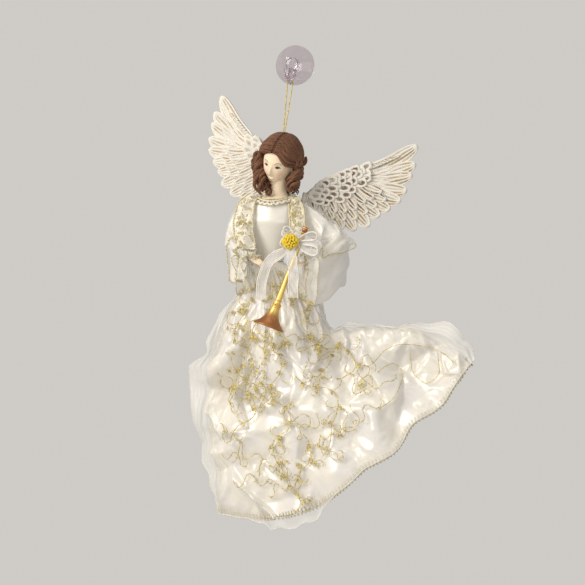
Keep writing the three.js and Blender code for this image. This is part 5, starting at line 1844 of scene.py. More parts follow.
@dataclass
class Gown:
    """Satin skirt, sheer overskirt with wired edges, gold scrolls and stitched hems."""

    form: SkirtForm = field(default_factory=SkirtForm)
    rows: int = 153
    columns: int = 193
    over_stand: float = 2.1
    over_turn: Pair = (0.125, 0.917)
    left_flare: Rows = (
        (0, 1), (0.15, 5), (0.24, 14), (0.33, 9), (0.39, 3), (0.45, 21), (0.52, 20), (0.64, 14), (0.8, 9),
        (0.88, 3),
        (1, 2))
    right_flare: Rows = (
        (0, 1), (0.34, 2), (0.45, 9), (0.52, 7), (0.62, 2), (0.74, 7), (0.84, 17), (0.93, 16), (1, 6))
    hem_drop: Rows = (
        (0, 0), (0.1, 0), (0.16, 4), (0.22, 11), (0.33, 12), (0.4, 4), (0.45, 0), (1, 0))

    def grid(self) -> tuple[Array, Array]:
        """Turns and shares down for every point of a face."""
        v, turn = np.meshgrid(shares(self.rows), shares(self.columns), indexing="ij")
        return turn, v

    def satin(self, back: bool) -> Array:
        """One satin face, gathered at the waist and creased.

        Args:
            back: Whether it is the face towards the wall.
        Returns:
            Its points.
        """
        turn, v = self.grid()
        base = self.form.face(turn, v * 0.965 if back else v, back)
        free = smooth(v, 0, 0.07) * smooth(turn, 0, 0.05) * smooth(1 - turn, 0, 0.05)
        creases = Crumple(seed=23) if back else Crumple()
        phase = 15 * turn + 0.8 * np.sin(9 * turn) + 0.5 * np.sin(5 * v)
        pleats = 2.2 * np.abs(2 * (phase - np.floor(phase + 0.5)))
        pleats = pleats * smooth(v, 0.01, 0.08) * (1 - smooth(v, 0.16, 0.5))
        relief = creases.relief(base[..., 0], base[..., 2]) * smooth(v, 0.08, 0.3) + blurred(pleats, 1)
        out = grid_normals(base * [1, -1, 1]) * [1, -1, 1] if back else grid_normals(base)
        return base + out * (relief * free)[..., None]

    def build(self) -> None:
        """Both faces, the overskirt, and what is stitched on them."""
        front, back = self.satin(False), self.satin(True)
        for grid, name in ((front, "front"), (back, "back")):
            parts = Bundle()
            parts.sheet(grid)
            dress(parts.build(f"skirt_satin_{name}", SATIN, closed=False), Body.ANGEL, "satin",
                                f"skirt_{name}")
        wire = Bundle()
        rim = np.vstack([front[-1], back[-1, -2:0:-1]])
        wire.tube(np.vstack([rim + [0, 0, 1.2], rim[:1] + [0, 0, 1.2]]), 0.5, 6)
        dress(wire.build("hem_wire_run", STEEL), Body.ANGEL, "wire", "hem_wire")
        stitches = self.hem_stitches(front)
        self.build_overskirt(front)

    def hem_stitches(self, front: Array) -> bpy.types.Object:
        """Short slanted stitches over the rolled hem.

        Args:
            front: The satin's front face.
        Returns:
            The stitches' piece.
        """
        parts = Bundle()
        edge = Spline(front[-1, ::4], 8)
        parts.tube(edge.at(shares(320)), 0.75, 6)
        inside = Spline(front[-4, ::4], 8)
        for share in np.arange(0.004, 0.996, 3.8 / edge.length):
            low, high = edge.at(share), inside.at(min(1, share + 0.006))
            up = unit(high - low)
            path = np.array([low + up * 5.0 + [0, 0.8, 0], low + up * 2.0 + [0, 1.5, 0], low - up * 1.4,
                             low + up * 1.2 + [0, -0.9, 0]])
            parts.tube(path, 0.62, 5)
        return dress(parts.build("hem_whip_stitches", CREAM_THREAD), Body.ANGEL, "gold_thread")

    def overskirt(self, front: Array) -> Array:
        """The sheer layer: it lies over the front and stands away from the body at both sides.

        Args:
            front: The satin's front face.
        Returns:
            Rows of points from the left flap's edge to the right flap's edge.
        """
        turn, v = self.grid()
        base = self.form.face(turn, v)
        n = grid_normals(base)
        off = ((front - base) * n).sum(-1)
        for _ in range(3):
            wide = np.pad(off, 1, mode="edge")
            off = np.max([wide[1:-1, 1:-1], wide[:-2, 1:-1], wide[2:, 1:-1], wide[1:-1, :-2], wide[1:-1, 2:]],
                         axis=0)
        off = blurred(off, 6) + self.over_stand * 0.6
        creases = Crumple(seed=41, layers=((22.0, 1.1), (11.0, 0.5)), fans=())
        own = np.abs(creases.relief(base[..., 0], base[..., 2]))
        cloth = base + n * (off + blurred(own, 1) * smooth(v, 0.05, 0.3))[..., None]
        low, high = (int(round(share * (self.columns - 1))) for share in self.over_turn)
        rows = slice(int(0.4 / 11 * self.rows), None)
        main = cloth[rows, low:high + 1]
        down = v[rows, 0]
        u = (1 - np.cos(math.pi * turn[rows, low:high + 1])) / 2
        drop = table(self.hem_drop, u) * (0.75 + 0.35 * np.abs(np.sin(40 * u)))
        drop = drop * smooth(v[rows, low:high + 1], 0.8, 1)
        main = main + unit(np.gradient(main, axis=0)) * drop[..., None]
        steps = shares(22)
        t = steps[None, :, None]
        lobes = 3.4 * np.abs(np.sin(19 * down + 1.5 * np.sin(7 * down))) * smooth(down, 0.1, 0.3)
        wave = 7 + 5 * np.sin(23 * down) * smooth(down, 0.1, 0.3)
        flare = 1.5 - table(self.left_flare, down) - lobes
        left_edge = self.form.left.at(down) + np.stack([flare, wave, 0 * down], -1)
        way = self.form.right.way(down)
        out = unit(np.stack([-way[:, 2], 0 * down, way[:, 0]], -1))
        stand = table(self.right_flare, down) - 1 + 3.2 * np.abs(np.sin(24 * down)) * smooth(down, 0.3, 0.45)
        right_edge = self.form.right.at(down) + out * stand[:, None] + [0, 8, 0]
        right_edge[:, 1] += 4 * np.sin(31 * down) * smooth(down, 0.3, 0.5)
        left = mix(left_edge[:, None], main[:, :1], t)
        ripple = 2.4 * np.sin(17 * down[:, None] + 5 * steps) * (1 - steps)
        left[..., 1] += 4 * np.sin(math.pi * steps) + ripple
        left[..., 1] += 1.5 * np.sin(17 * steps + 2 * np.sin(9 * down[:, None])) * np.sin(math.pi * steps)
        right = mix(main[:, -1:], right_edge[:, None], t)
        right[..., 1] += 3 * np.sin(math.pi * steps) + 2.4 * np.sin(19 * down[:, None] - 4 * steps) * steps
        right[..., 1] += 1.3 * np.sin(16 * steps + 2 * np.sin(11 * down[:, None])) * np.sin(math.pi * steps)
        return np.concatenate([left[:, :-1], main, right[:, 1:]], axis=1)

    def build_overskirt(self, front: Array) -> None:
        """The sheer cloth, its wired edge and the embroidery.

        Args:
            front: The satin's front face.
        """
        grid = self.overskirt(front)
        cloth = Bundle()
        rows, columns = grid.shape[:2]
        inward = np.minimum(np.arange(columns), np.arange(columns)[::-1])
        hem = smooth(np.arange(rows)[:, None], rows - 8, rows)
        cloth.sheet(grid, free=np.maximum(1 - smooth(inward, 12, 30), hem))
        piece = dress(cloth.build("overskirt_organza", SHEER, closed=False), Body.ANGEL, "organza",
                      "overskirt")
        edge = np.vstack([grid[:, 0], grid[-1, 1:-1], grid[::-1, -1]])
        trim = Bundle()
        line = Spline(edge[::3], 6)
        trim.tube(line.at(shares(900)), 0.4, 6)
        for share in np.arange(0.002, 0.998, 2.6 / line.length):
            place = line.at(share)
            slant = np.array([0.5, 0.6, 0.3]) * math.sin(37 * share * 50)
            trim.tube(np.array([place - slant, place + [0, 0.6, 0.3], place + slant]), 0.28, 5)
        edging = dress(trim.build("overskirt_edging", WHITE_THREAD), Body.ANGEL, "gold_thread")
        scrolls = Embroidery(grid).build()


class Embroidery:
    """Gold scrolls, leaves, blossoms and dots worked on the sheer cloth."""

    def __init__(self, grid: Array, seed: int = 5) -> None:
        """Keeps the cloth as a surface to work on.

        Args:
            grid: The cloth's points in figure millimetres.
            seed: Start of the random layout.
        """
        corners = [Vector(place) for place in grid.reshape(-1, 3).tolist()]
        self.tree = BVHTree.FromPolygons(corners, grid_faces(*grid.shape[:2]))
        self.rng = np.random.default_rng(seed)
        self.parts = Bundle()

    def on_cloth(self, x: Array, z: Array, proud: float) -> Array | None:
        """Points laid on the cloth from the front.

        Args:
            x: Places across.
            z: Places up.
            proud: How far they stand off the cloth.
        Returns:
            The points, or None where the line leaves the cloth.
        """
        out = []
        for a, b in zip(x, z):
            hit, normal, _, _ = self.tree.ray_cast(Vector((a, 200.0, b)), Vector((0.0, -1.0, 0.0)))
            if hit is None:
                return None if len(out) < 3 else np.array(out)
            normal = -normal if normal.y < 0 else normal
            out.append(hit + normal * proud)
        return np.array(out)

    def line(self, x: Array, z: Array, radius: float, knots: float = 0.0) -> None:
        """A couched thread along places across and up the skirt, with knots on it where their size is given.

        Args:
            x: Places across.
            z: Places up.
            radius: Its radius.
            knots: Size of the knots on it, or none.
        """
        path = self.on_cloth(x, z, radius * 0.8)
        if path is not None and len(path) > 2:
            self.parts.tube(path, radius, 5)
            if knots:
                thread = Spline(path)
                for share in np.arange(0, 1, 1.9 / max(4.0, thread.length)):
                    place = thread.at(share) + self.rng.normal(0, 0.25, 3)
                    self.parts.ball(place, knots * self.rng.uniform(0.6, 1.2), 4, 6)

    def spiral(self, x: float, z: float, angle: float, size: float, hand: int, turns: float = 1.35) -> None:
        """A tendril that leaves a point and curls up.

        Args:
            x: Where it starts.
            z: Where it starts.
            angle: The way it leaves.
            size: The curl's radius.
            hand: Which way it curls.
            turns: Turns of the curl.
        """
        t = np.linspace(0, 1, int(26 * turns))
        heading = angle + hand * 2 * math.pi * turns * t**1.25
        pace = size * 0.27 * (1 - 0.72 * t)
        self.line(x + np.cumsum(np.cos(heading) * pace), z + np.cumsum(np.sin(heading) * pace), 0.36)

    def leaf(self, x: float, z: float, angle: float, size: float) -> None:
        """A pointed leaf filled with stitches along it.

        Args:
            x: Where it starts, across.
            z: Where it starts, up.
            angle: The way it points.
            size: Its length.
        """
        t = shares(9)
        c, s = math.cos(angle), math.sin(angle)
        for side in np.linspace(-1, 1, 2 * int(1 + size / 4) + 1):
            along, off = size * t, side * size * 0.26 * np.sin(math.pi * t**0.8)
            self.line(x + along * c - off * s, z + along * s + off * c, 0.26)

    def blossom(self, x: float, z: float, size: float) -> None:
        """A five-petalled flower with a dotted heart.

        Args:
            x: Its middle, across.
            z: Its middle, up.
            size: Its radius.
        """
        turn = self.rng.uniform(0, 2 * math.pi)
        t = np.linspace(0, 2 * math.pi, 10)
        for k in range(5):
            a = turn + 2 * math.pi * k / 5
            cx, cz = x + size * 0.62 * math.cos(a), z + size * 0.62 * math.sin(a)
            self.line(cx + size * 0.36 * np.cos(t), cz + size * 0.36 * np.sin(t), 0.26)
        self.dot(x, z, 0.9)

    def dot(self, x: float, z: float, radius: float) -> None:
        """A knotted stitch.

        Args:
            x: Its middle, across.
            z: Its middle, up.
            radius: Its size.
        """
        path = self.on_cloth(np.array([x] * 3), np.array([z] * 3), radius * 0.4)
        if path is not None:
            self.parts.ball(path[0], radius, 4, 6)

    def stem(self, points: Sequence[Sequence[float]], wander: float, side: float) -> None:
        """A long stem with tendrils, leaves and blossoms along it.

        Args:
            points: Places across and up that it passes.
            wander: How far it waves.
            side: Size of its tendrils.
        """
        curve = Spline([(x, z, 0) for x, z in points])
        t = np.linspace(0, 1, max(12, int(curve.length / 2.2)))
        p = curve.at(t)
        way = curve.way(t)
        phase = 2 * math.pi * t * curve.length / 64 + self.rng.uniform(0, 6)
        wave = wander * np.sin(phase) * np.sin(math.pi * t)
        x, z = p[:, 0] - way[:, 1] * wave, p[:, 1] + way[:, 0] * wave
        self.line(x, z, 0.3, 0.62)
        hand = 1
        for k in range(4, len(t) - 3, 6):
            angle = math.atan2(z[k + 1] - z[k], x[k + 1] - x[k])
            size = side * self.rng.uniform(0.5, 1.2)
            leave = angle + hand * self.rng.uniform(0.2, 0.9)
            self.spiral(x[k], z[k], leave, size, hand, self.rng.uniform(0.35, 0.95))
            self.leaf(x[k], z[k], angle - hand * 0.8, self.rng.uniform(3.5, 9))
            if self.rng.uniform() < 0.35:
                away = angle - hand * 1.1
                reach = self.rng.uniform(7, 11)
                self.sprig(x[k] + reach * math.cos(away), z[k] + reach * math.sin(away))
            hand = -hand

    def sprig(self, x: float, z: float) -> None:
        """A small spray: a blossom or a few leaves with knots round them.

        Args:
            x: Its middle, across.
            z: Its middle, up.
        """
        if self.rng.uniform() < 0.4:
            self.blossom(x, z, self.rng.uniform(2.6, 4.2))
        else:
            for angle in self.rng.uniform(0, 6.28) + np.arange(3) * 0.8:
                self.leaf(x, z, angle, self.rng.uniform(2.4, 4))
        for _ in range(4):
            angle, reach = self.rng.uniform(0, 6.28), self.rng.uniform(4, 7)
            self.dot(x + reach * math.cos(angle), z + reach * math.sin(angle), self.rng.uniform(0.3, 0.5))

    def wander(self, x: float, z: float, heading: float, length: float) -> None:
        """A loose line that turns this way and that, and ends in a hook.

        Args:
            x: Where it starts, across.
            z: Where it starts, up.
            heading: The way it leaves.
            length: Its length.
        """
        count = int(length / 1.2)
        share = shares(count)
        bends, phase = self.rng.uniform(1.2, 2.2), self.rng.uniform(0, 6.28)
        curl = 3.4 * smooth(share, 0.68, 1) ** 1.5 * self.rng.choice([-1, 1])
        angle = heading + 1.25 * np.sin(2 * math.pi * bends * share + phase) + curl
        self.line(x + np.cumsum(np.cos(angle)) * 1.2, z + np.cumsum(np.sin(angle)) * 1.2, 0.28, 0.58)

    def build(self) -> bpy.types.Object:
        """All the stems, small sprays where the pattern is dense, and plain loops along the tail.

        Returns:
            The embroidery's piece.
        """
        stems = [
            [(-22, -140), (-40, -178), (-30, -222), (-50, -262)],
            [(-6, -150), (-18, -196), (2, -236), (-16, -268)],
            [(8, -150), (28, -182), (46, -212), (38, -246)], [(34, -200), (58, -216), (80, -226), (96, -246)],
            [(20, -236), (46, -250), (66, -280), (50, -312)], [(-6, -250), (14, -286), (2, -322), (24, -350)],
            [(-44, -236), (-28, -276), (-46, -300)], [(30, -292), (38, -326), (18, -346), (34, -362)],
        ]
        for points in stems:
            self.stem(points, 9, 8)
        for x, z, heading, length in (
                (-55, -215, -0.4, 70), (-30, -205, -0.2, 80), (4, -190, -0.7, 70), (-58, -262, 0.1, 70),
                (30, -222, -0.9, 60), (58, -238, -0.6, 70), (76, -262, -1.9, 60), (-40, -300, -0.6, 70),
                (0, -300, -1.2, 60), (44, -270, -2.4, 60), (-16, -236, -1.4, 60), (88, -236, -0.3, 46),
                (-62, -240, -0.9, 60), (-36, -250, -0.1, 60), (10, -262, -0.5, 70), (48, -292, -0.8, 50),
                (-20, -330, 0.3, 50), (20, -212, -0.2, 60), (-50, -190, -0.8, 50), (70, -222, 0.2, 50),
                (-62, -285, -0.6, 70), (-58, -312, -0.3, 60), (-44, -338, 0.1, 70), (-8, -352, 0.5, 60),
                (-64, -232, -1.2, 50), (52, -322, 2.6, 50), (84, -286, 2.2, 60), (104, -256, -2.4, 60)):
            self.wander(x, z, heading, length)
        for _ in range(52):
            self.sprig(self.rng.normal(-16, 26), self.rng.normal(-200, 34))
        loops = [
            [(62, -206), (78, -222), (92, -226), (104, -212), (118, -206), (140, -207), (162, -214),
             (172, -222)],
            [(128, -214), (131, -232), (146, -242), (157, -233), (156, -214)],
            [(100, -232), (112, -224), (122, -234), (118, -254), (104, -266)],
        ]
        for points in loops:
            line = Spline([(x, z, 0) for x, z in points]).at(shares(70))
            self.line(line[:, 0], line[:, 1], 0.34)
        return dress(self.parts.build("gold_scrolls", GOLD_THREAD), Body.ANGEL, "gold_thread")


# What the hands hold


@dataclass
class Trumpet:
    """A long straight trumpet with a turned mouth end and a flared bell."""

    top: Point = (33.5, 40.0, -94.0)
    way: Point = (-33.7, 12.0, -94.7)
    length: float = 101.0
    outside: Rows = (
        (0, 2.5), (0.012, 2.8), (0.03, 2.7), (0.05, 2.0), (0.08, 1.6), (0.1, 2.1), (0.5, 2.2), (0.7, 2.73),
        (0.82, 4.16), (0.9, 6.74), (0.95, 10.1), (0.98, 13.45), (0.995, 15), (1, 14.9))
    inside: Rows = ((1, 14.1), (0.972, 11.4), (0.93, 7), (0.87, 3.9), (0.8, 1.7), (0.79, 0))
    rings: Rows = ((0.012, 0.5), (0.06, 0.45), (0.1, 0.55), (0.115, 0.45), (0.74, 0.5), (0.775, 0.9),
                   (0.81, 0.5))

    def ring(self, share: float, radius: float, turn: Array) -> Array:
        """Points round the trumpet.

        Args:
            share: Where along it.
            radius: How far from its axis.
            turn: Angles round it.
        Returns:
            The points, in figure millimetres.
        """
        axis = unit(np.array(self.way))
        u = unit(np.cross(axis, [0, 1, 0]))
        w = np.cross(axis, u)
        spread = np.cos(turn)[:, None] * u + np.sin(turn)[:, None] * w
        return np.array(self.top) + axis * share * self.length + radius * spread

    def build(self) -> None:
        """The turned body, its rings and the beads above the bell."""
        outer, inner = Spline(self.outside).at(shares(110)), Spline(self.inside).at(shares(40))
        rows = np.vstack([[(0, 0)], outer, inner])
        sides = 56
        places = np.array([self.ring(share, radius, circle(sides)) for share, radius in rows])
        parts = Bundle()
        copper = np.clip(smooth(rows[:, 0], 0.72, 1) + (1 - smooth(rows[:, 0], 0.03, 0.16)), 0, 1)
        # Painted shade inside the bell: 0.4 at its mouth, rising to full towards its throat
        dark = np.concatenate([[0], 0 * outer[:, 0], 0.4 + 0.6 * smooth(1 - inner[:, 0], 0.02, 0.15)])
        parts.loft(places, capped=False, copper=np.repeat(copper, sides), groove=np.repeat(dark, sides))
        for share, thick in self.rings:
            radius = np.interp(share, *np.array(self.outside).T) + 0.1
            parts.tube(self.ring(share, radius, np.linspace(0, 2 * math.pi, 49)), thick, 8, copper=0.35,
                       groove=0.0)
        for place in self.ring(0.79, 3.9, circle(14)):
            parts.ball(place, 0.95, copper=0.3, groove=0.1)
        parts.tube(self.ring(1.0, 14.6, np.linspace(0, 2 * math.pi, 73)), 0.6, 8, copper=1.0, groove=0.5)
        dress(parts.build("gilt_trumpet", GILT), Body.ANGEL, "trumpet_gold", "trumpet")


@dataclass
class Bow:
    """A sheer wired ribbon tied on the trumpet, with a yellow flower at its knot."""

    centre: Point = (24.9, 46.0, -108.2)
    width: float = 9.0

    def strip(self, name: str, centre: Array, across: Array, *replaced: str) -> None:
        """A piece of ribbon with white edges.

        Args:
            name: The piece's name.
            centre: Points along its middle.
            across: Its half width at each point.
            replaced: CAD nodes that it stands for.
        """
        share = np.linspace(-1, 1, 13)[None, :, None]
        t = np.linspace(0, 1, len(centre))[:, None]
        grid = centre[:, None] + across[:, None] * share
        grid[..., 1] += 0.5 * np.sin(14 * t + 2 * share[..., 0])
        cloth, edges = Bundle(), Bundle()
        cloth.sheet(grid)
        for column, radius in ((0, 0.62), (2, 0.3), (-3, 0.3), (-1, 0.62)):
            edges.tube(grid[:, column], radius, 6)
        piece = dress(cloth.build(name, RIBBON_SHEER, closed=False), Body.ANGEL, "organza", *replaced)
        rims = dress(edges.build(f"{name}_edges", WHITE_THREAD), Body.ANGEL, "organza")
        held = "hung" if "tail" in name else "folded"

    def loop(self, name: str, way: Sequence[float], size: Pair, twist: float, *replaced: str) -> None:
        """A loop of ribbon from the knot.

        Args:
            name: The piece's name.
            way: Which way it points.
            size: Its length and height.
            twist: How far its band is turned to the viewer, in radians.
            replaced: CAD nodes that it stands for.
        """
        t = shares(60)
        axis = unit(np.array(way, float))
        side = unit(np.cross(axis, [0, 1, 0]))
        a = 2 * math.pi * t
        out = (1 - np.cos(a)) / 2
        centre = (np.array(self.centre) + axis * (size[0] * out**0.75)[:, None]
                  + side * (size[1] * 0.5 * np.sin(a) * (0.35 + 0.65 * out))[:, None])
        band = np.array([0, 1, 0]) * math.cos(twist) + side * math.sin(twist)
        wide = (self.width / 2 * (0.35 + 0.65 * smooth(out, 0, 0.35)))[:, None]
        self.strip(name, centre, band * wide, *replaced)

    def build(self) -> None:
        """Loops, tails, knot and flower."""
        middle = np.array(self.centre)
        self.loop("bow_loop_left_low", (-12, 4, 3), (13, 11), 0.7, "bow_loop_left")
        self.loop("bow_loop_left_high", (-9, 5, 11), (17, 9), -0.6)
        self.loop("bow_loop_right_high", (20, 3, 3), (24, 11), 0.6, "bow_loop_right")
        self.loop("bow_loop_right_low", (20, 5, -6), (27, 12), -0.7)
        tails = {
            "left": [(-3.4, 0.5, -3.6), (-10, 5, -9), (-26, 2, -19), (-33, -1, -34), (-35, -2.4, -55)],
            "right": [(-0.4, 0.8, -4.4), (-1.6, 6, -11), (0, 7.6, -31), (-0.5, 5.6, -53)],
        }
        for name, points in tails.items():
            t = shares(60)
            centre = middle + Spline(points).at(t)
            way = unit(np.gradient(centre, axis=0))
            half = self.width / 2 * np.minimum(1, 0.45 + 2.2 * t)
            across = unit(np.cross(way, [0, 1, 0])) * half[:, None]
            centre = centre + np.array([0, 1, 0]) * (0.9 * np.sin(9 * t))[:, None]
            self.strip(f"bow_tail_{name}", centre, across, f"ribbon_tail_{name}")
        knot = Bundle()
        knot.ball(middle, (4, 3.6, 4.2), 12, 18)
        dress(knot.build("bow_knot_wrap", WHITE_THREAD), Body.ANGEL, "organza", "bow_knot")
        self.build_flower()

    def build_flower(self) -> None:
        """A round head of many small petals."""
        rng = np.random.default_rng(17)
        parts = Bundle()
        middle = np.array(self.centre) + [-3.0, 7.7, 0.5]
        # The core takes the darker yellow all over, as painted shade that shows in the gaps between the
        # petals
        parts.ball(middle, (6.2, 3.6, 5.4), 12, 18, groove=1.0)
        for k in range(64):
            polar = math.acos(1 - 1.45 * (k + 0.5) / 64)
            turn = k * 2.399963
            way = np.array([math.sin(polar) * math.cos(turn), math.cos(polar),
                            math.sin(polar) * math.sin(turn)])
            place = middle + way * [7.2, 4.6, 6.2] * rng.uniform(0.9, 1.08)
            parts.ball(place, (rng.uniform(1.0, 1.6), rng.uniform(0.8, 1.2), rng.uniform(1.0, 1.6)), 6, 8,
                       groove=rng.uniform(0, 0.25))
        dress(parts.build("yellow_flower", YELLOW), Body.ANGEL, "flower_yellow", "flower_cluster")


# Wings


@dataclass
class Wing:
    """A moulded wing: rows of grooved feathers on a rib, and the stem into the back."""

    side: Side
    root: Point
    span_angle: float
    sweep: float
    span: float = 120.0
    chord: float = 55.0
    feather: float = 11.0
    pits: float = 1.0
    coverts: int = 4
    flight: Rows = (
        (0.48, -0.02, 1, 0), (0.48, -0.08, 0.93, -0.29), (0.47, -0.12, 0.87, -0.45),
        (0.46, -0.16, 0.78, -0.67),
        (0.44, -0.18, 0.7, -0.8), (0.4, -0.18, 0.59, -0.87), (0.35, -0.17, 0.49, -0.91),
        (0.29, -0.16, 0.38, -1),
        (0.23, -0.15, 0.26, -0.97), (0.17, -0.14, 0.17, -0.86), (0.11, -0.12, 0.08, -0.71),
        (0.06, -0.1, 0, -0.52))
    rib: Rows = ((0, -0.06), (0.16, 0.04), (0.3, 0.03), (0.45, 0), (0.62, -0.03), (0.86, -0.02))

    def place(self, points: Array) -> Array:
        """Wing millimetres (along, front, up) as world metres.

        Args:
            points: Places on the wing.
        Returns:
            The places in the world.
        """
        sign = self.side.value
        p = np.array(points, float) * [sign, -1, 1]
        p = turned(turned(p, 1, -sign * self.span_angle), 2, sign * self.sweep)
        return figure(p * [1, -1, 1] + self.root)

    def add_feather(self, parts: Bundle, base: Array, tip: Array, width: float, lift: float, stain: float,
                    face: int = 1) -> None:
        """One long blade with carved lines along it, between two points of the wing's plane.

        Args:
            parts: The wing's parts.
            base: Its root, along and up.
            tip: Its end, along and up.
            width: Its widest part.
            lift: How far in front of the wing's plane.
            stain: How much brown is left in its lines.
            face: 1 on the front of the wing, -1 on its back.
        """
        length = float(np.linalg.norm(tip - base))
        rows, columns = max(10, int(length / 1.8)), 37
        t = shares(rows)[:, None]
        w = np.linspace(-1, 1, columns)[None, :]
        along = (tip - base) / length
        cross = np.array([-along[1], along[0]])
        point = np.sqrt(np.clip(1 - ((t - 0.7) / 0.305) ** 2 * (t > 0.7), 0, 1))
        half = np.maximum(width / 2 * (0.5 + 0.5 * smooth(t, 0, 0.35)) * point, 0.12)
        bend = 0.07 * length * np.sin(math.pi * t) * (1 if along[0] > 0.3 else 0.5)
        flat = base + along * (length * t)[..., None] + cross * (w * half - bend)[..., None]
        lines = 0.5 + 0.5 * np.cos(2 * math.pi * (width / 6.6) * (w + 0.05 * np.sin(7 * t + 9 * lift)))
        ends = smooth(t, 0.02, 0.15) * (1 - smooth(t, 0.9, 0.99))
        hollow = (1 - lines) ** 0.7 * (1 - smooth(np.abs(w), 0.88, 1)) * ends
        height = lift + 0.9 * (1 - 0.6 * w**2) + 0.5 * w - 0.8 * hollow + 0.8 * smooth(t, 0.6, 1)
        streak = 0.5 + 0.5 * np.sin(4 * w + 5 * t + 5 * lift + base[0])
        self.add_plate(parts, flat, height, np.minimum(height, lift) - 0.5, face, pit=stain * hollow * streak,
                       groove=hollow * (0.5 + 0.5 * streak) * (0.62 + 0.38 * self.pits))

    def add_plate(self, parts: Bundle, flat: Array, top: Array, under: float | Array, face: int,
                  **values: Array) -> None:
        """Closes one feather between its upper and its lower side.

        Args:
            parts: The wing's parts.
            flat: Its places along and up.
            top: Height of the upper side.
            under: Height of the lower side.
            face: 1 on the front of the wing, -1 on its back.
            values: Paint values.
        """
        sides = (np.stack([flat[..., 0], face * (level + 0 * top), flat[..., 1]], -1)
                 for level in (top, under))
        parts.shell(*(self.place(side) for side in sides), **values)

    def add_scale(self, parts: Bundle, base: Array, tip: Array, width: float, lift: float, depth: float,
                  face: int = 1) -> None:
        """One short shell-shaped feather with a sunk oval.

        Args:
            parts: The wing's parts.
            base: Its root, along and up.
            tip: Its end, along and up.
            width: Its width.
            lift: How far in front of the wing's plane.
            depth: How dark the oval is.
            face: 1 on the front of the wing, -1 on its back.
        """
        t = shares(17)[:, None]
        w = np.linspace(-1, 1, 25)[None, :]
        along = tip - base
        cross = np.array([-along[1], along[0]]) / np.linalg.norm(along)
        half = np.maximum(width / 2 * np.sqrt(np.clip(1 - ((t - 0.55) / 0.56) ** 2, 0, 1)), 0.12)
        flat = base + along * t[..., None] + cross * (w * half)[..., None]
        dish = np.exp(-(((w / 0.62) ** 2 + ((t - 0.6) / 0.31) ** 2) ** 2))
        lines = 0.5 + 0.5 * np.cos(2 * math.pi * 2.6 * (w + 0.2 * w * t))
        sunk = (0.2 + 0.8 * self.pits) * dish * (0.7 + 0.3 * lines)
        height = lift + 0.5 + 1.5 * smooth(t, 0, 0.9) * (1 - 0.5 * w**2) - sunk
        groove = 0.5 * (1 - smooth(t, 0, 0.4)) + (0.3 + 0.6 * (1 - self.pits) * (1 - lines)) * dish
        self.add_plate(parts, flat, height, lift - 0.6, face, groove=groove,
                       pit=self.pits * dish * depth * (0.55 + 0.45 * lines))

    def build(self) -> None:
        """Three rows of long feathers, rows of scales, both faces, the rib and the stem."""
        parts = Bundle(lambda p: p)
        scale = np.array([self.span, self.chord])
        flight = np.array(self.flight).reshape(-1, 2, 2) * scale
        rows = [(mix(base, tip, -0.15), tip) for base, tip in flight]
        between = [((a + c) / 2, (b + d) / 2) for (a, b), (c, d) in zip(rows, rows[1:])]
        for face in (1, -1):
            for group, reach, width, lift, stain in (
                    (rows, 1.0, 1.4, 0.0, 0.5), (between[4:], 0.8, 1.1, 0.9, 0.8),
                    (rows[4:], 0.62, 1.0, 1.6, 1.0)):
                for k, (base, tip) in enumerate(group):
                    self.add_feather(parts, base, mix(base, tip, reach), self.feather * width,
                                     lift + 0.05 * k,
                                     stain * self.pits, face)
            self.add_scales(parts, rows, face)
        rib = Spline([(s * self.span, 0, c * self.chord) for s, c in self.rib]).at(shares(60))
        parts.tube(self.place(rib), np.linspace(3.0, 1.0, 60) * MM, 12, groove=0.25, pit=0.0)
        for k in range(26):
            t = k / 26
            a, b = rib[int(t * 52)], rib[min(59, int(t * 52) + 6)]
            self.add_feather(parts, a[[0, 2]] + [0, 1.2], b[[0, 2]] + [2, -1.2], 5 - 2 * t, 2.4 - 1.2 * t,
                             0.4 * self.pits)
        sign = self.side.value
        stem = np.array(self.root) + np.array([[0, 0, 0], [-3.0 * sign, 3, -12], [-12 * sign, 6, -22]])
        parts.tube(figure(Spline(stem).at(shares(16))), 2.6 * MM, 10, groove=0.4, pit=0.0)
        name = self.side.name.lower()
        dress(parts.build(f"feathered_wing_{name}", FEATHER), Body.ANGEL, "feather_paint", f"wing_{name}")

    def add_scales(self, parts: Bundle, rows: list[tuple[Array, Array]], face: int) -> None:
        """Rows of short scale feathers from the rib down to the long ones.

        Args:
            parts: The wing's parts.
            rows: Roots and tips of the long feathers.
            face: 1 on the front of the wing, -1 on its back.
        """
        rib = Spline([(s * self.span, c * self.chord, 0) for s, c in self.rib])
        rng = np.random.default_rng(3)
        for level in range(self.coverts)[::-1]:
            count = 8
            for k in range(count):
                t = (k + 0.5 * (level % 2)) / count
                top = rib.at(0.02 + 0.42 * t)[:2]
                base, tip = rows[int((1 - t) * (len(rows) - 1))]
                low = mix(base, tip, mix(0.45, 0.2, t))
                start = mix(top, low, (level - 0.3) / self.coverts)
                aim = unit(unit(tip - base) + [1.3, 0.25]) * rng.uniform(11, 15)
                self.add_scale(parts, start, start + aim, rng.uniform(7.5, 9.5), 3.6 - 0.3 * level - 0.9 * t,
                               rng.uniform(0.6, 1.5), face)


# Stage


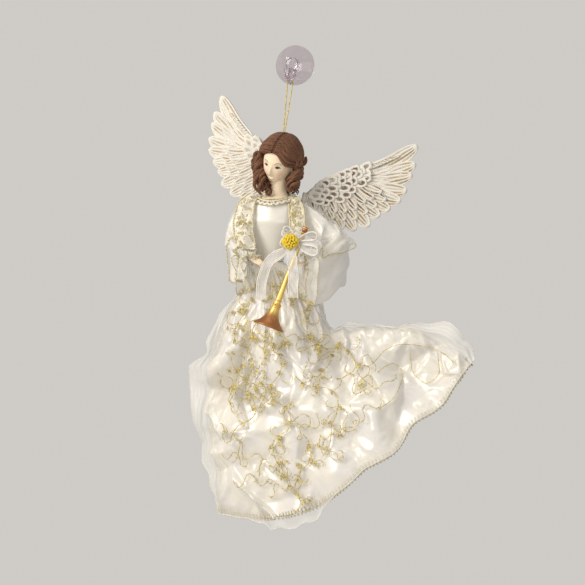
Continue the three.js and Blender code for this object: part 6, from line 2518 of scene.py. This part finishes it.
@dataclass
class Stage:
    """Camera at the photograph's angle, soft studio light, a pale floor and a pale surround."""

    azimuth: float = 16.0
    distance: float = 1.8
    aim: Pair = (2.7, -227.1)
    lens: float = 110.77
    floor_reach: float = 1.2
    floor_level: float = -0.8
    lamp_aim: Point = (0, -0.05, -0.23)
    lamps: tuple[tuple[str, Point, float, float, Color], ...] = (
        ("key", (-0.85, -1.1, 0.5), 0.9, 19.0, (1.0, 0.94, 0.84)),
        ("fill", (0.7, -1.4, -0.05), 1.0, 4.0, (1.0, 0.96, 0.9)),
        ("top", (0.2, -0.1, 1.2), 0.7, 2.5, (1.0, 0.98, 0.95)))
    surround_light: Color = (1.0, 0.97, 0.93)
    surround_strength: float = 0.38
    surround_view: Color = (0.62, 0.60, 0.57)

    def add_camera(self) -> None:
        """The camera, level with the middle of the picture."""
        data = bpy.data.cameras.new("camera")
        data.lens = self.lens
        data.sensor_width = 36.0
        data.clip_end = 20.0
        camera = bpy.data.objects.new("camera", data)
        a = math.radians(self.azimuth)
        shift = self.aim[0] * MM
        camera.location = (self.distance * math.sin(a) - shift * math.cos(a),
                           -self.distance * math.cos(a) - shift * math.sin(a), self.aim[1] * MM)
        camera.rotation_euler = (math.pi / 2, 0, a)
        bpy.context.scene.collection.objects.link(camera)
        bpy.context.scene.camera = camera

    def add_light(self, name: str, place: Sequence[float], size: float, power: float, color: Color) -> None:
        """One soft box aimed at the figure.

        Args:
            name: Its name.
            place: Where it stands.
            size: Its side.
            power: Its watts.
            color: Its colour.
        """
        data = bpy.data.lights.new(name, "AREA")
        data.size = size
        data.energy = power
        data.color = color
        light = bpy.data.objects.new(name, data)
        light.location = place
        light.rotation_euler = (Vector(self.lamp_aim) - Vector(place)).to_track_quat("-Z", "Y").to_euler()
        bpy.context.scene.collection.objects.link(light)

    def add_floor(self) -> None:
        """A plain pale floor below the figure."""
        mesh = bpy.data.meshes.new("floor")
        reach = self.floor_reach
        corners = [(x * reach, y * reach, self.floor_level) for x, y in ((-1, -1), (1, -1), (1, 1), (-1, 1))]
        mesh.from_pydata(corners, [], [(0, 1, 2, 3)])
        mesh.materials.append(Plain("floor_paint", (0.80, 0.79, 0.77), rough=0.8).material())
        floor = bpy.data.objects.new("floor", mesh)
        bpy.context.scene.collection.objects.link(floor)

    def add_world(self) -> None:
        """A pale surround, a little dimmer as a light than as a view."""
        world = bpy.data.worlds.new("surround")
        bpy.context.scene.world = world
        kit = ShaderKit(world)
        camera, glossy, clear = (kit.node("ShaderNodeLightPath", output=f"Is {ray} Ray")
                                 for ray in ("Camera", "Glossy", "Transmission"))
        lit = kit.node("ShaderNodeBackground", None,
                       {"Color": self.surround_light, "Strength": self.surround_strength})
        view = kit.node("ShaderNodeBackground", None, {"Color": self.surround_view})
        seen = camera.most(glossy.most(clear))
        kit.feed(kit.out.inputs[0], kit.node("ShaderNodeMixShader", None, {0: seen, 1: lit, 2: view}))

    def build(self) -> None:
        """Everything round the figure."""
        bpy.context.scene.view_settings.view_transform = "Standard"
        self.add_camera()
        self.add_floor()
        self.add_world()
        for lamp in self.lamps:
            self.add_light(*lamp)


# Middle, half width, and height above and below it, of each sleeve's rings from the shoulder to the mouth
RIGHT_SLEEVE: Rows = (
    (11, -3, -75, 3.5, 5.0, 5.0), (19, -3, -79, 6.0, 8.8, 7.8), (28, -2, -87, 11, 14, 15),
    (40, 0, -98, 13, 17, 25),
    (51, 4, -108, 14.5, 17, 31), (55, 11, -116, 14, 13, 32), (49, 19, -121.5, 13, 10, 36),
    (37, 28, -125, 12, 8.5, 39))
LEFT_SLEEVE: Rows = (
    (-31, -5, -76, 3.5, 5.5, 5.5), (-42, -3, -80, 7.5, 10.4, 10.4), (-44.5, 0, -88, 9, 13.8, 13.8),
    (-44, 5, -98, 10, 13, 16), (-43, 11, -108, 10.5, 12, 24), (-40, 18, -115, 10.5, 10, 30),
    (-33, 24, -120, 9.5, 8, 26))


def main() -> None:
    """Builds the object in order and dresses it."""
    logging.basicConfig(level=logging.INFO, format="%(name)s: %(message)s")
    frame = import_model()
    Stage().build()
    HangingCord().build()
    hook = SuctionHook()
    hook.build_cup()
    hook.build_hook()
    Head().build()
    Hair().build()
    Torso().build()
    Collar().build()
    Sleeve(Side.RIGHT, RIGHT_SLEEVE, cape_end=0.96, flat=(0.13, 0.085), cape_flat=(0.1, 0.065),
           flounces=((0.2, 3, 1, 8),)).build()
    Sleeve(Side.LEFT, LEFT_SLEEVE, cape_end=0.8, flat=(0.1, 0.055), cape_flat=(0.1, 0.05),
           flounces=((0, 8, 3, 3), (0.3, 6, 3, 11)), seed=9).build()
    right = ((12, -3, -75), *(row[:3] for row in RIGHT_SLEEVE[2:-1]), (31, 34, -127.5))
    left = ((-33, -4, -77), *(row[:3] for row in LEFT_SLEEVE[2:-1]), (-24, 27.5, -124))
    Arm(Side.RIGHT, right).build(frame["nodes"]["hand_right"])
    Arm(Side.LEFT, left).build(frame["nodes"]["hand_left"])
    Stole(Side.LEFT, ((-29, 6, -60), (-34, 14, -67), (-36, 21, -90), (-31, 28, -114)), width=17,
          seed=31).build()
    Stole(Side.RIGHT, ((11, 7, -63), (17, 16, -76), (20, 24, -90), (21, 27, -100)), width=13, seed=37).build()
    Gown().build()
    Trumpet().build()
    Bow().build()
    Wing(Side.LEFT, root=(-5, -27, -48), span_angle=51.5, sweep=5, span=114, pits=0.25, coverts=3).build()
    Wing(Side.RIGHT, root=(16, -21, -58), span_angle=22, sweep=6).build()


if __name__ == "__main__":
    main()
